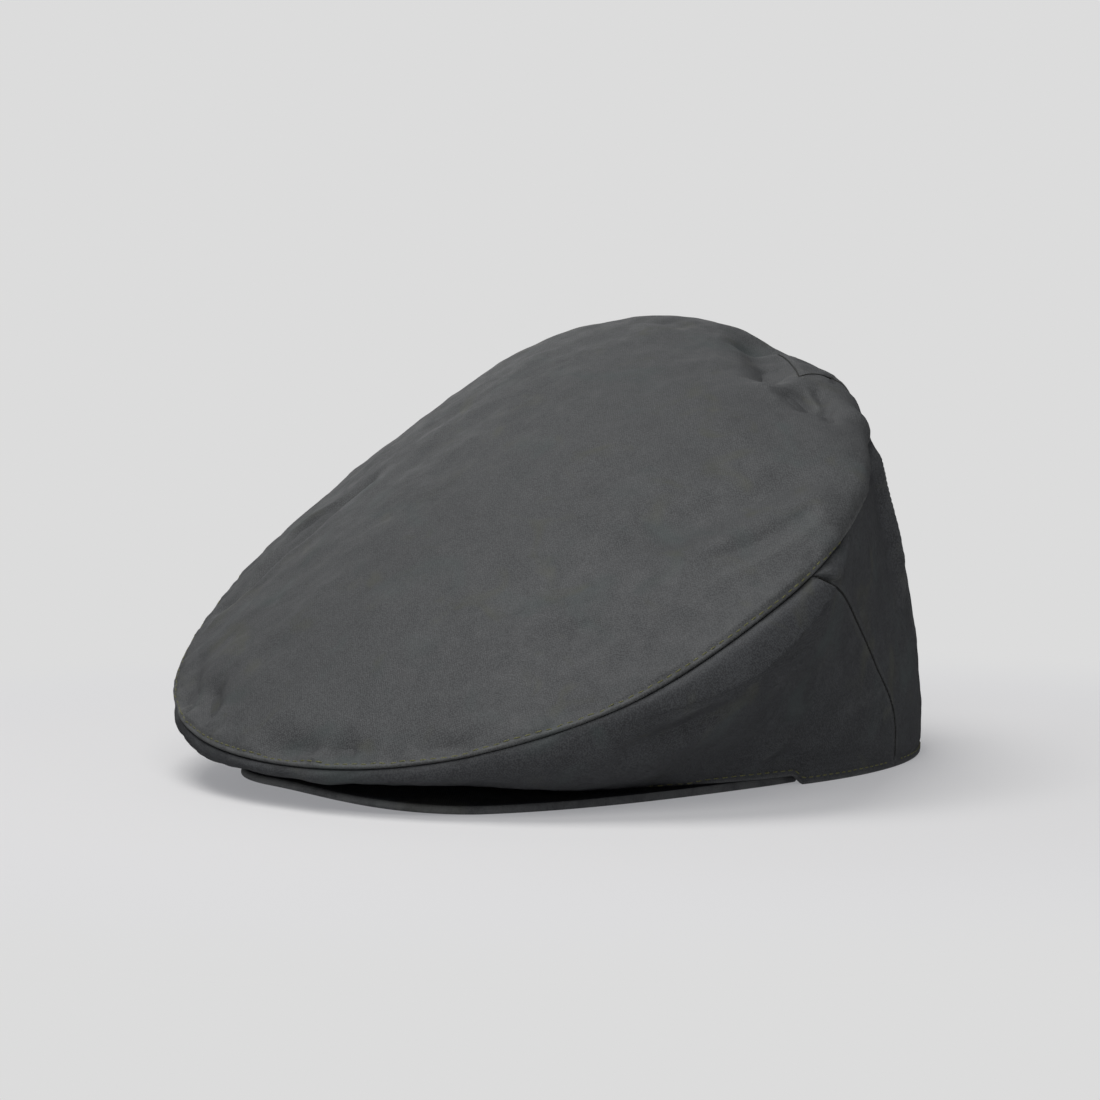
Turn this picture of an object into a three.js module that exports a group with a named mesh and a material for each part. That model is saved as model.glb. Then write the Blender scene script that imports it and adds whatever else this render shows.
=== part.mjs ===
// A flat cap of waxed cotton, in millimetres, +Z up. The front of the cap faces -Y and the wearer's
// left is +X. The cap rests on the floor by itself, and the origin is on the floor, below the middle
// of the cap's box.
//
// The cloth is one full body cut along its seams into a top panel, a side panel that runs round the
// front, and two back panels. A stiff peak carries the front of the side panel. A place on the body
// has two numbers: around, in degrees from the front towards the wearer's left, and level, which
// counts the control points of a section: 0 is the hem, 4 the crown seam and 9 the middle of the top.
import * as THREE from 'three';

// Head opening: an ellipse 580 mm round.
const HEM_HALF_WIDTH = 81;
const HEM_HALF_LENGTH = 103;

// Cloth and its clearances.
const WALL = 1.6;
const FRONT_WALL = 1.1;
const FRONT_WALL_SPREAD = 45;
const SEAM_GAP = 0.32;
const SIDE_SEAM_GAP = 0.56;
const REST_GAP = 0.45;

// The crown's pillow above the plane of its seam.
const CROWN_RISE = 21;
const CROWN_FULLNESS = 2.3;
const CROWN_NORMAL = new THREE.Vector3(0, -0.48, 0.877);

// The peak: a plate arched between its two resting sides. Its rim is half of a squared ellipse,
// squarer on the wearer's left than on the right.
const PEAK_HALF_WIDTH = 76;
const PEAK_FRONT = -138;
const PEAK_ENDS = -2;
const PEAK_SQUARENESS_LEFT = 3.2;
const PEAK_SQUARENESS_RIGHT = 1.8;
const PEAK_THICKNESS = 2.4;
const PEAK_ARCH = 4.6;
const PEAK_ARCH_MIDDLE = -6;
const PEAK_ARCH_HALF_WIDTH = 66;
const PEAK_ARCH_POWER = 1.3;
const PEAK_UNDER_HEM = 9;

// Where the hem comes down from the peak to the floor, in degrees around.
const HEM_STEP_START = 84;
const HEM_STEP_END = 87.5;

// The origin's place: this moves the middle of the cap's box over it.
const SHIFT_X = -0.1;
const SHIFT_Y = 20.7;

// Levels of the body's sections.
const HEM_LEVEL = 0;
const SEAM_LEVEL = 4;
const MIDDLE_LEVEL = 9;

// One row for each section. reach and height place the crown seam. The other columns step from the
// seam to the widest edge, to the fold under it and to the lip above it, and from the hem to the
// low wall.
const SECTION_COLUMNS = [
  'around', 'reach', 'height', 'edgeOut', 'edgeDown', 'underIn', 'underDown',
  'wallOut', 'wallUp', 'lipOut', 'lipUp',
];
const SECTIONS = namedRows(SECTION_COLUMNS, [
  [0, 144, 12.8, 1.5, 3.8, 7, 5.2, 22, 0.6, -1.5, 4],
  [22.5, 143, 15, 1, 4.8, 9, 7.3, 22, 3, -1.5, 4],
  [45, 134, 30, 2, 6, 11, 20, 18, 3, -3, 4],
  [67.5, 120, 57, 3.5, 7, 9, 28, 9, 12, -3, 4],
  [90, 98, 80, 1, 8, 4, 34, 4, 24, 4, 7],
  [112.5, 79, 93, 3, 8, -5, 34, 1, 26, 3, 9],
  [135, 72, 106, 3.5, 5, -11, 34, 1, 26, -2, 6],
  [157.5, 71, 114.5, 3, 0, -19, 35, 0, 28, -2, 3],
  [180, 76, 116, 10, -8, -23, 33, 0, 30, -2, 9],
  [202.5, 80, 125.5, 9, 4, -12, 38, 0, 30, -3, 9],
  [225, 80, 127, 6, 6, -6, 41, 0, 30, -4, 7],
  [247.5, 84, 120, 5, 6, -2, 39, 0, 30, -4, 4.5],
  [270, 100, 94, 5, 6, 5, 35, 4, 24, -4, 5],
  [292.5, 119, 61.5, 5, 5.5, 11, 31, 10, 12, -3, 5],
  [315, 130, 36, 3.5, 5, 10, 21.5, 18, 3, -2, 4],
  [337.5, 139, 19.5, 0.5, 5.4, 8, 11.5, 22, 1, -1, 4],
]);
const SECTION_STEP = 360 / SECTIONS.length;

// How far towards the middle the top's control points lie, as shares of the way from the lip.
const TOP_SHARES = [0.22, 0.48, 0.76];

// The seam between the side panel and each back panel, from the hem up to the crown seam.
const SIDE_SEAM = namedRows(['level', 'around'], [
  [0, 120.5],
  [0.7, 118.5],
  [1.2, 109.5],
  [2, 94],
  [3.2, 78],
  [4, 74],
]);

// Soft folds and dents, each along a line between two places; a positive depth stands proud.
const FOLDS = namedRows(['around', 'level', 'toAround', 'toLevel', 'width', 'depth'], [
  [182, 5.55, 148, 6.2, 6, -3],
  [134.5, 5.75, 124, 5.7, 5, -2.5],
  [63, 5.95, 84.5, 5.4, 7, 2],
  [66, 6.4, 88, 5.9, 8, -2],
  [2, 4.75, 15.5, 4.8, 5, -1.4],
  [20, 4.75, 28, 4.5, 5, -1.2],
  [48, 2.4, 57.5, 2.3, 6, -2.5],
  [120, 4.3, 127, 1.9, 5, 2],
  [336, 4.6, 329, 5.1, 4, -1.2],
  [346, 4.8, 341.5, 5.2, 4, -1.2],
  [292, 6.4, 314, 5.3, 5, -2],
]);

// How finely the panels are cut into facets.
const SIDE_COLUMNS = 36;
const BACK_COLUMNS = 18;
const PEAK_COLUMNS = 36;
const WALL_LEVELS = [0, 0.35, 0.7, 1.1, 1.5, 1.9, 2.3, 2.65, 3, 3.35, 3.7, 4];
const TOP_LEVELS = [4, 4.35, 4.7, 5.1, 5.5, 5.9, 6.3, 6.7, 7.1, 7.5, 7.9, 8.3, 8.7];
const PEAK_SHARES = [0, 0.3, 0.6, 0.85, 0.985, 1];
const PEAK_RIM_BEVEL = 0.3;

// Steps for slopes worked out from two near points: degrees around and levels.
const AROUND_STEP = 2;
const LEVEL_STEP = 0.3;

const HARMONICS = 10;
const HARMONIC_SAMPLES = 64;

const UP = new THREE.Vector3(0, 0, 1);

function namedRows(columns, rows) {
  return rows.map((row) => Object.fromEntries(columns.map((name, i) => [name, row[i]])));
}

function radians(degrees) {
  return THREE.MathUtils.degToRad(degrees);
}

// A column of the section table at any angle, through the rows as a closed Catmull-Rom curve.
function column(name, around) {
  const place = THREE.MathUtils.euclideanModulo(around, 360) / SECTION_STEP;
  const first = Math.floor(place);
  const share = place - first;
  const value = (offset) => SECTIONS[(first + offset + SECTIONS.length) % SECTIONS.length][name];
  const [a, b, c, d] = [value(-1), value(0), value(1), value(2)];
  return 0.5 * (2 * b + (c - a) * share + (2 * a - 5 * b + 4 * c - d) * share ** 2
    + (3 * b - a - 3 * c + d) * share ** 3);
}

// A smooth curve through two named columns of a short table.
function tableCurve(table, key, name) {
  const curve = new THREE.CubicInterpolant(
    table.map((row) => row[key]),
    table.map((row) => row[name]),
    1,
    [0],
  );
  return (at) => curve.evaluate(at)[0];
}

function outward(around) {
  return new THREE.Vector3(Math.sin(radians(around)), -Math.cos(radians(around)), 0);
}

// A point at a distance from the middle axis and a height above the floor.
function onPlane(around, reach, height) {
  return outward(around).multiplyScalar(reach).setZ(height);
}

function hemRadius(around) {
  const out = outward(around);
  return 1 / Math.hypot(out.x / HEM_HALF_WIDTH, out.y / HEM_HALF_LENGTH);
}

// The underside of the peak above the floor, at a distance to the side.
function peakHeight(x) {
  const share = Math.min(Math.abs(x - PEAK_ARCH_MIDDLE) / PEAK_ARCH_HALF_WIDTH, 1);
  return PEAK_ARCH * Math.max(Math.cos((Math.PI / 2) * share), 0) ** PEAK_ARCH_POWER;
}

// The hem lies on the floor at the back and the sides, and on the peak in front.
function hemHeight(around) {
  const onPeak = 1 - THREE.MathUtils.smoothstep(
    degreesFromFront(around),
    HEM_STEP_START,
    HEM_STEP_END,
  );
  const x = hemRadius(around) * Math.sin(radians(around));
  return onPeak * (peakHeight(x) + PEAK_THICKNESS + REST_GAP);
}

function lipPoint(around) {
  return onPlane(
    around,
    column('reach', around) + column('lipOut', around),
    column('height', around) + column('lipUp', around),
  );
}

// The lip curve as waves: wave n fades towards the middle as the nth power of the distance, so the
// surface that they span is as smooth in the middle as a soap film.
const LIP_WAVES = Array.from({ length: HARMONICS + 1 }, (_, n) => {
  const wave = { cos: new THREE.Vector3(), sin: new THREE.Vector3() };
  const weight = (n === 0 ? 1 : 2) / HARMONIC_SAMPLES;
  for (let i = 0; i < HARMONIC_SAMPLES; i += 1) {
    const around = (i * 360) / HARMONIC_SAMPLES;
    const point = lipPoint(around);
    wave.cos.addScaledVector(point, weight * Math.cos(n * radians(around)));
    wave.sin.addScaledVector(point, weight * Math.sin(n * radians(around)));
  }
  return wave;
});

// The top's control surface: the film across the lip, raised into a pillow.
function pillowPoint(around, distance) {
  const point = new THREE.Vector3();
  LIP_WAVES.forEach((wave, n) => {
    const fade = distance ** n;
    point.addScaledVector(wave.cos, fade * Math.cos(n * radians(around)));
    point.addScaledVector(wave.sin, fade * Math.sin(n * radians(around)));
  });
  return point.addScaledVector(CROWN_NORMAL, CROWN_RISE * (1 - distance ** CROWN_FULLNESS));
}

// The control points of a section, from one before the hem to one past the middle of the top.
function sectionControls(around) {
  const at = (name) => column(name, around);
  const [reach, height] = [at('reach'), at('height')];
  const hem = onPlane(around, hemRadius(around), hemHeight(around));
  const wall = onPlane(around, hemRadius(around) + at('wallOut'), hem.z + at('wallUp'));
  const under = onPlane(around, reach - at('underIn'), height - at('underDown'));
  const edge = onPlane(around, reach + at('edgeOut'), height - at('edgeDown'));
  const lip = lipPoint(around);
  // The curve passes the seam itself when its control point makes up for its two neighbours.
  const seam = onPlane(around, reach, height).multiplyScalar(6).sub(edge).sub(lip).divideScalar(4);
  const beforeHem = hem.clone().multiplyScalar(2).sub(wall);
  const last = TOP_SHARES[TOP_SHARES.length - 1];
  return [
    beforeHem, hem, wall, under, edge, seam, lip,
    ...TOP_SHARES.map((share) => pillowPoint(around, 1 - share)),
    pillowPoint(around, 0),
    pillowPoint(around + 180, 1 - last),
  ];
}

// The body without its folds: a uniform cubic B-spline along each section.
function bodyPoint(around, level) {
  const controls = sectionControls(around);
  const first = Math.min(Math.floor(level), MIDDLE_LEVEL - 1);
  const f = level - first;
  const weights = [
    (1 - f) ** 3, 3 * f ** 3 - 6 * f ** 2 + 4, 3 * f - 3 * f ** 3 + 3 * f ** 2 + 1, f ** 3,
  ];
  const point = new THREE.Vector3();
  weights.forEach((weight, i) => point.addScaledVector(controls[first + i], weight / 6));
  return point;
}

// The way out of the cloth, from slopes along and across the section.
function bodyNormal(around, level) {
  const low = Math.max(level - LEVEL_STEP, HEM_LEVEL);
  const high = Math.min(level + LEVEL_STEP, MIDDLE_LEVEL);
  const along = bodyPoint(around + AROUND_STEP, level).sub(bodyPoint(around - AROUND_STEP, level));
  const rising = bodyPoint(around, high).sub(bodyPoint(around, low));
  return along.cross(rising).normalize();
}

const FOLD_LINES = FOLDS.map((fold) => ({
  line: new THREE.Line3(
    bodyPoint(fold.around, fold.level),
    bodyPoint(fold.toAround, fold.toLevel),
  ),
  width: fold.width,
  depth: fold.depth,
}));

function foldDepth(point) {
  const nearest = new THREE.Vector3();
  return FOLD_LINES.reduce((sum, { line, width, depth }) => {
    line.closestPointToPoint(point, true, nearest);
    return sum + depth * Math.exp(-((nearest.distanceTo(point) / width) ** 2));
  }, 0);
}

function degreesFromFront(around) {
  return Math.abs(THREE.MathUtils.euclideanModulo(around + 180, 360) - 180);
}

// The cloth is pressed thinner at the front, where it turns sharply over the peak.
function wallThickness(around) {
  const share = THREE.MathUtils.smoothstep(degreesFromFront(around), 0, FRONT_WALL_SPREAD);
  return THREE.MathUtils.lerp(FRONT_WALL, WALL, share);
}

// The outer and the inner face of the cloth at one place. The hem's edge is cut level.
function clothPair(around, level) {
  const normal = bodyNormal(around, level);
  const outer = bodyPoint(around, level);
  outer.addScaledVector(normal, foldDepth(outer));
  const inner = outer.clone().addScaledVector(normal, -wallThickness(around));
  if (level === HEM_LEVEL) {
    outer.z = hemHeight(around);
    inner.copy(outer).addScaledVector(outward(around), -WALL);
  }
  return { outer, inner };
}

// A level moved along its section by a small distance, up or down.
function shiftedLevel(around, level, distance) {
  const slope = bodyPoint(around, level + LEVEL_STEP).distanceTo(bodyPoint(around, level - LEVEL_STEP));
  return level + (distance * 2 * LEVEL_STEP) / slope;
}

// An angle moved along its level by a small distance.
function shiftedAround(around, level, distance) {
  const slope = bodyPoint(around + AROUND_STEP, level).distanceTo(bodyPoint(around - AROUND_STEP, level));
  return around + (distance * 2 * AROUND_STEP) / slope;
}

// A closed solid between two grids of points: pairs[i][j] has an outer and an inner point. Columns
// run around the cap and rows run upwards, seen from outside. A ring closes on itself, and a middle
// pair closes the last row.
function sheetGeometry(pairs, { ring = false, middle = null } = {}) {
  const columns = pairs.length;
  const rows = pairs[0].length;
  const positions = [];
  const triangles = [];
  pairs.forEach((points) => points.forEach(({ outer, inner }) => {
    positions.push(...outer, ...inner);
  }));
  const outer = (i, j) => 2 * ((i % columns) * rows + j);
  const inner = (i, j) => outer(i, j) + 1;
  const quad = (a, b, c, d) => triangles.push(a, b, c, a, c, d);
  const spans = ring ? columns : columns - 1;
  for (let i = 0; i < spans; i += 1) {
    for (let j = 0; j < rows - 1; j += 1) {
      quad(outer(i, j), outer(i + 1, j), outer(i + 1, j + 1), outer(i, j + 1));
      quad(inner(i, j), inner(i, j + 1), inner(i + 1, j + 1), inner(i + 1, j));
    }
    quad(inner(i, 0), inner(i + 1, 0), outer(i + 1, 0), outer(i, 0));
    if (!middle) {
      quad(outer(i, rows - 1), outer(i + 1, rows - 1), inner(i + 1, rows - 1), inner(i, rows - 1));
    }
  }
  if (middle) {
    const top = positions.length / 3;
    positions.push(...middle.outer, ...middle.inner);
    for (let i = 0; i < spans; i += 1) {
      triangles.push(outer(i, rows - 1), outer(i + 1, rows - 1), top);
      triangles.push(inner(i + 1, rows - 1), inner(i, rows - 1), top + 1);
    }
  }
  if (!ring) {
    for (let j = 0; j < rows - 1; j += 1) {
      const end = columns - 1;
      quad(inner(0, j), outer(0, j), outer(0, j + 1), inner(0, j + 1));
      quad(outer(end, j), inner(end, j), inner(end, j + 1), outer(end, j + 1));
    }
  }
  const geometry = new THREE.BufferGeometry();
  geometry.setAttribute('position', new THREE.Float32BufferAttribute(positions, 3));
  geometry.setIndex(triangles);
  geometry.computeVertexNormals();
  return geometry;
}

const sideSeamAround = tableCurve(SIDE_SEAM, 'level', 'around');

// A wall panel from one seam to another: each seam gives an angle at every level.
function wallPanel(startSeam, endSeam, count) {
  const pairs = [];
  for (let i = 0; i <= count; i += 1) {
    pairs.push(WALL_LEVELS.map((level) => {
      const start = shiftedAround(startSeam(level), level, SIDE_SEAM_GAP / 2);
      const end = shiftedAround(endSeam(level), level, -SIDE_SEAM_GAP / 2);
      const around = THREE.MathUtils.lerp(start, end, i / count);
      const isTop = level === SEAM_LEVEL;
      return clothPair(around, isTop ? shiftedLevel(around, level, -SEAM_GAP / 2) : level);
    }));
  }
  return sheetGeometry(pairs);
}

// The columns of the top panel stand over those of the wall panels.
function topColumns() {
  const seam = sideSeamAround(SEAM_LEVEL);
  const columns = [];
  for (let i = 0; i < SIDE_COLUMNS; i += 1) {
    columns.push(THREE.MathUtils.lerp(-seam, seam, i / SIDE_COLUMNS));
  }
  for (let i = 0; i < 2 * BACK_COLUMNS; i += 1) {
    columns.push(THREE.MathUtils.lerp(seam, 360 - seam, i / (2 * BACK_COLUMNS)));
  }
  return columns;
}

function topPanel() {
  const pairs = topColumns().map((around) => TOP_LEVELS.map((level) => clothPair(
    around,
    level === SEAM_LEVEL ? shiftedLevel(around, level, SEAM_GAP / 2) : level,
  )));
  const middle = bodyPoint(0, MIDDLE_LEVEL);
  const inner = middle.clone().addScaledVector(CROWN_NORMAL, -WALL);
  return sheetGeometry(pairs, { ring: true, middle: { outer: middle, inner } });
}

// A point of the peak's plan: share 0 is the edge under the hem and share 1 the rim.
function peakPlan(turn, share) {
  const power = 2 / (turn > 0 ? PEAK_SQUARENESS_LEFT : PEAK_SQUARENESS_RIGHT);
  const rimX = PEAK_HALF_WIDTH * Math.sign(turn) * Math.abs(Math.sin(turn)) ** power;
  const rimY = PEAK_ENDS + (PEAK_FRONT - PEAK_ENDS) * Math.max(Math.cos(turn), 0) ** power;
  const [halfWidth, halfLength] = [
    HEM_HALF_WIDTH - PEAK_UNDER_HEM, HEM_HALF_LENGTH - PEAK_UNDER_HEM,
  ];
  const endTurn = Math.acos(-PEAK_ENDS / halfLength);
  const backTurn = (turn / (Math.PI / 2)) * endTurn;
  return new THREE.Vector2(halfWidth * Math.sin(backTurn), -halfLength * Math.cos(backTurn))
    .lerp(new THREE.Vector2(rimX, rimY), share);
}

function peak() {
  const pairs = [];
  for (let i = 0; i <= PEAK_COLUMNS; i += 1) {
    const turn = THREE.MathUtils.lerp(-Math.PI / 2, Math.PI / 2, i / PEAK_COLUMNS);
    pairs.push(PEAK_SHARES.map((share) => {
      const { x, y } = peakPlan(turn, share);
      const low = peakHeight(x);
      const bevel = share === 1 ? PEAK_RIM_BEVEL * PEAK_THICKNESS : 0;
      return {
        outer: new THREE.Vector3(x, y, low + bevel),
        inner: new THREE.Vector3(x, y, low + PEAK_THICKNESS - bevel),
      };
    }));
  }
  return sheetGeometry(pairs);
}

const WAXED_TOP = new THREE.MeshStandardMaterial({ color: 0x3d4341, roughness: 0.62, metalness: 0 });
const WAXED_SIDE = new THREE.MeshStandardMaterial({ color: 0x353b39, roughness: 0.66, metalness: 0 });
const WAXED_PEAK = new THREE.MeshStandardMaterial({ color: 0x2b3030, roughness: 0.7, metalness: 0 });

function addPiece(group, name, geometry, material) {
  const mesh = new THREE.Mesh(geometry, material.clone());
  mesh.name = name;
  group.add(mesh);
}

const cap = new THREE.Group();
cap.position.set(SHIFT_X, SHIFT_Y, 0);
addPiece(cap, 'top_panel', topPanel(), WAXED_TOP);
addPiece(
  cap,
  'side_panel',
  wallPanel((level) => -sideSeamAround(level), sideSeamAround, SIDE_COLUMNS),
  WAXED_SIDE,
);
addPiece(cap, 'back_panel_left', wallPanel(sideSeamAround, () => 180, BACK_COLUMNS), WAXED_SIDE);
addPiece(
  cap,
  'back_panel_right',
  wallPanel(() => 180, (level) => 360 - sideSeamAround(level), BACK_COLUMNS),
  WAXED_SIDE,
);
addPiece(cap, 'peak', peak(), WAXED_PEAK);

export default cap;
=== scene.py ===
"""A flat cap of waxed cotton, dressed for a plain studio picture.

The cap is one full body of cloth cut along its seams into a top panel, a side panel that runs
round the front, and two back panels, over a stiff peak. Each panel has an outer and an inner
face, turned edges, puckered seams, folds and creases, and lies in the space of its construction
solid. Shapes are worked out in millimetres from the cap's own middle axis and become metres in
the frame when a mesh is made. The front of the cap faces -Y and the wearer's left is +X.
"""

import logging
import math
from dataclasses import dataclass, field
from enum import Enum
from functools import reduce
from typing import Callable, Iterator, NamedTuple

import bmesh
import bpy
import numpy as np
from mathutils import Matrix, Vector
from mathutils.bvhtree import BVHTree

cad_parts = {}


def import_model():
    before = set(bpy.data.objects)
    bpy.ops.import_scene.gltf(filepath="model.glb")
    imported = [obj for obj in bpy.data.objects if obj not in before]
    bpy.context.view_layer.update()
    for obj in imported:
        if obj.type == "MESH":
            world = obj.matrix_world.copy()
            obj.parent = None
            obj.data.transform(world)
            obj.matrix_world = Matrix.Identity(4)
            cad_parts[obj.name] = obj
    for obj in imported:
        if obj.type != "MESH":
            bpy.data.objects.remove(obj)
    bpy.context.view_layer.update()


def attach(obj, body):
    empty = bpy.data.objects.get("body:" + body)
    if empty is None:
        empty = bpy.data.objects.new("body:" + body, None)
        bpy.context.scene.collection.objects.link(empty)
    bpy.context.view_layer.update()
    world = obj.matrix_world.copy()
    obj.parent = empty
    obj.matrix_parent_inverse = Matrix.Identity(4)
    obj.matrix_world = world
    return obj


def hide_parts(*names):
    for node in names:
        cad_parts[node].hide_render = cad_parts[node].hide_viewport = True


LOG = logging.getLogger("flat_cap")

Colour = tuple[float, float, float, float]
Place = tuple[float, float, float]
SeamLine = Callable[[np.ndarray], np.ndarray]

# Where the cap's middle axis stands in the frame, in millimetres, and a millimetre in metres.
SHIFT = np.array([-0.1, 20.7, 0.0])
MM = 0.001
SHARP_ANGLE = math.radians(55.0)
ROOT = "root"
TOP_SLOT = "waxed_cotton_top"
SIDE_SLOT = "waxed_cotton_side"
PEAK_SLOT = "waxed_cotton_peak"

HEM_LEVEL = 0.0
SEAM_LEVEL = 4.0
MIDDLE_LEVEL = 9.0


class Section(NamedTuple):
    """One section of the body: the crown seam and how the cloth turns beside it, in millimetres.

    Attributes:
        around: the section's angle from the front towards the wearer's left, in degrees.
        reach: the crown seam's distance from the middle axis.
        height: the crown seam's height above the floor.
        edge_out: how far the turn below the seam stands out past the seam.
        edge_down: how far that turn lies below the seam.
        under_in: how far the upper wall draws in from the seam.
        under_down: how far the upper wall lies below the seam.
        wall_out: how far the lower wall stands out past the hem.
        wall_up: how far the lower wall lies above the hem.
        lip_out: how far the turn above the seam stands out past the seam.
        lip_up: how far that turn lies above the seam.
    """

    around: float
    reach: float
    height: float
    edge_out: float
    edge_down: float
    under_in: float
    under_down: float
    wall_out: float
    wall_up: float
    lip_out: float
    lip_up: float


SECTIONS = tuple(Section(*row) for row in (
    (0, 144, 12.8, 1.5, 3.8, 7, 5.2, 22, 0.6, -1.5, 4),
    (22.5, 143, 15, 1, 4.8, 9, 7.3, 22, 3, -1.5, 4),
    (45, 134, 30, 2, 6, 11, 20, 18, 3, -3, 4),
    (67.5, 120, 57, 3.5, 7, 9, 28, 9, 12, -3, 4),
    (90, 98, 80, 1, 8, 4, 34, 4, 24, 4, 7),
    (112.5, 79, 93, 3, 8, -5, 34, 1, 26, 3, 9),
    (135, 72, 106, 3.5, 5, -11, 34, 1, 26, -2, 6),
    (157.5, 71, 114.5, 3, 0, -19, 35, 0, 28, -2, 3),
    (180, 76, 116, 10, -8, -23, 33, 0, 30, -2, 9),
    (202.5, 80, 125.5, 9, 4, -12, 38, 0, 30, -3, 9),
    (225, 80, 127, 6, 6, -6, 41, 0, 30, -4, 7),
    (247.5, 84, 120, 5, 6, -2, 39, 0, 30, -4, 4.5),
    (270, 100, 94, 5, 6, 5, 35, 4, 24, -4, 5),
    (292.5, 119, 61.5, 5, 5.5, 11, 31, 10, 12, -3, 5),
    (315, 130, 36, 3.5, 5, 10, 21.5, 18, 3, -2, 4),
    (337.5, 139, 19.5, 0.5, 5.4, 8, 11.5, 22, 1, -1, 4),
))


class SeamPlace(NamedTuple):
    """A place on the seam between the side panel and a back panel."""

    level: float
    around: float


SIDE_SEAM = (
    SeamPlace(0, 120.5),
    SeamPlace(0.7, 118.5),
    SeamPlace(1.2, 109.5),
    SeamPlace(2, 94),
    SeamPlace(3.2, 78),
    SeamPlace(4, 74),
)


class FoldKind(Enum):
    """How a fold's cross-section turns."""

    SOFT = "a soft bell, even along its line"
    CREASE = "a sharp line with soft shoulders, fading at its ends"
    STEP = "one side higher than the other, fading at its ends"
    LEDGE = "a soft swell that stops at a sharp edge, fading at its ends"


class Fold(NamedTuple):
    """A fold along a line through places (around, level); a positive depth stands proud."""

    kind: FoldKind
    width: float
    depth: float
    places: tuple[tuple[float, float], ...]


SOFT, CREASE, STEP, LEDGE = FoldKind.SOFT, FoldKind.CREASE, FoldKind.STEP, FoldKind.LEDGE
MAIN_FOLDS = tuple(Fold(*row) for row in (
    (SOFT, 6, -3, ((182, 5.55), (148, 6.2))),
    (SOFT, 5, -2.5, ((134.5, 5.75), (124, 5.7))),
    (SOFT, 7, 2, ((63, 5.95), (84.5, 5.4))),
    (SOFT, 8, -2, ((66, 6.4), (88, 5.9))),
    (SOFT, 5, -1.4, ((2, 4.75), (15.5, 4.8))),
    (SOFT, 5, -1.2, ((20, 4.75), (28, 4.5))),
    (SOFT, 6, -2.5, ((48, 2.4), (57.5, 2.3))),
    (SOFT, 5, 1.6, ((121, 4.6), (127, 1.9))),
    (SOFT, 4, -1.2, ((336, 4.6), (329, 5.1))),
    (SOFT, 4, -1.2, ((346, 4.8), (341.5, 5.2))),
    (SOFT, 5, -2, ((292, 6.4), (314, 5.3))),
))
BACK_TUCK = ((172, 5.5), (158, 5.62), (146, 5.73), (149, 5.3), (150, 4.85), (146, 4.4), (141, 4.15))
TOP_FOLDS = tuple(Fold(*row) for row in (
    (STEP, 4, 0.9, BACK_TUCK[:3]),
    (STEP, 4, 0.9, BACK_TUCK[3:]),
    (CREASE, 4, -1.5, ((57, 6.2), (65.5, 5.85), (71.5, 5.62), (80, 5.42), (84, 5.35))),
    (CREASE, 3.5, 0.8, ((61, 5.65), (69, 5.4), (80, 5.15), (86, 5.1))),
    (CREASE, 5, -0.8, ((50, 6.7), (61, 6.62), (74, 6.4))),
    (CREASE, 4, -0.6, ((56, 6.05), (64.5, 5.78))),
    (CREASE, 5, -0.6, ((76, 7.1), (90, 6.5))),
    (CREASE, 6, -0.7, ((35, 5.95), (48, 5.82))),
    (SOFT, 4, -0.8, ((58, 5.25), (60, 4.75))),
    (SOFT, 4, -2, ((180, 5.8), (177, 5.35))),
    (SOFT, 3.5, -2, ((160, 5.95), (152, 6.05))),
    (CREASE, 2.5, 0.7, ((142, 6.45), (124, 6.25))),
    (CREASE, 4.5, -2.2, ((136, 6.15), (126.5, 5.95), (118, 5.78))),
    (CREASE, 2.2, 1.2, ((140, 5.75), (134, 5.68), (127, 5.65), (122, 5.75))),
    (CREASE, 3.5, -1.9, ((140, 5.5), (125, 5.52), (111, 5.58))),
    (CREASE, 1.8, 0.4, ((200, 5.2), (182, 6.25))),
    (SOFT, 4, -1.0, ((207, 5.8), (203, 5.9))),
    (CREASE, 2.5, 0.9, ((284, 6.45), (294.5, 6.2), (297, 5.6), (307, 5.5), (312.5, 5.42), (322, 5.05))),
    (CREASE, 3, -1.1, ((290, 6.6), (295.5, 6.15), (299, 5.7), (306.5, 5.68), (315, 5.55))),
    (CREASE, 2.5, 0.8, ((304, 6.6), (311, 5.98), (314.5, 5.75), (317, 5.28), (319, 4.9))),
    (CREASE, 2, 1.4, ((339.5, 5.2), (341, 4.85), (342.5, 4.5), (342, 4.1))),
    (CREASE, 3, -1.6, ((331, 5.1), (337, 4.95), (343.5, 4.75))),
    (CREASE, 3, -1.5, ((333, 4.7), (338, 4.58), (342, 4.45))),
    (CREASE, 2.5, -1.5, ((341, 5.25), (344, 5.1), (348, 4.9))),
    (CREASE, 2, 0.7, ((349.5, 4.7), (348.5, 5.2))),
    (CREASE, 4, -1.4, ((2, 4.75), (10, 4.78))),
    (CREASE, 3.5, -1.4, ((10.5, 4.85), (15, 4.85))),
    (CREASE, 4, -1.2, ((22, 4.85), (30, 4.6))),
    (CREASE, 4, -1.0, ((37, 4.5), (43, 4.65))),
))
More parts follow.
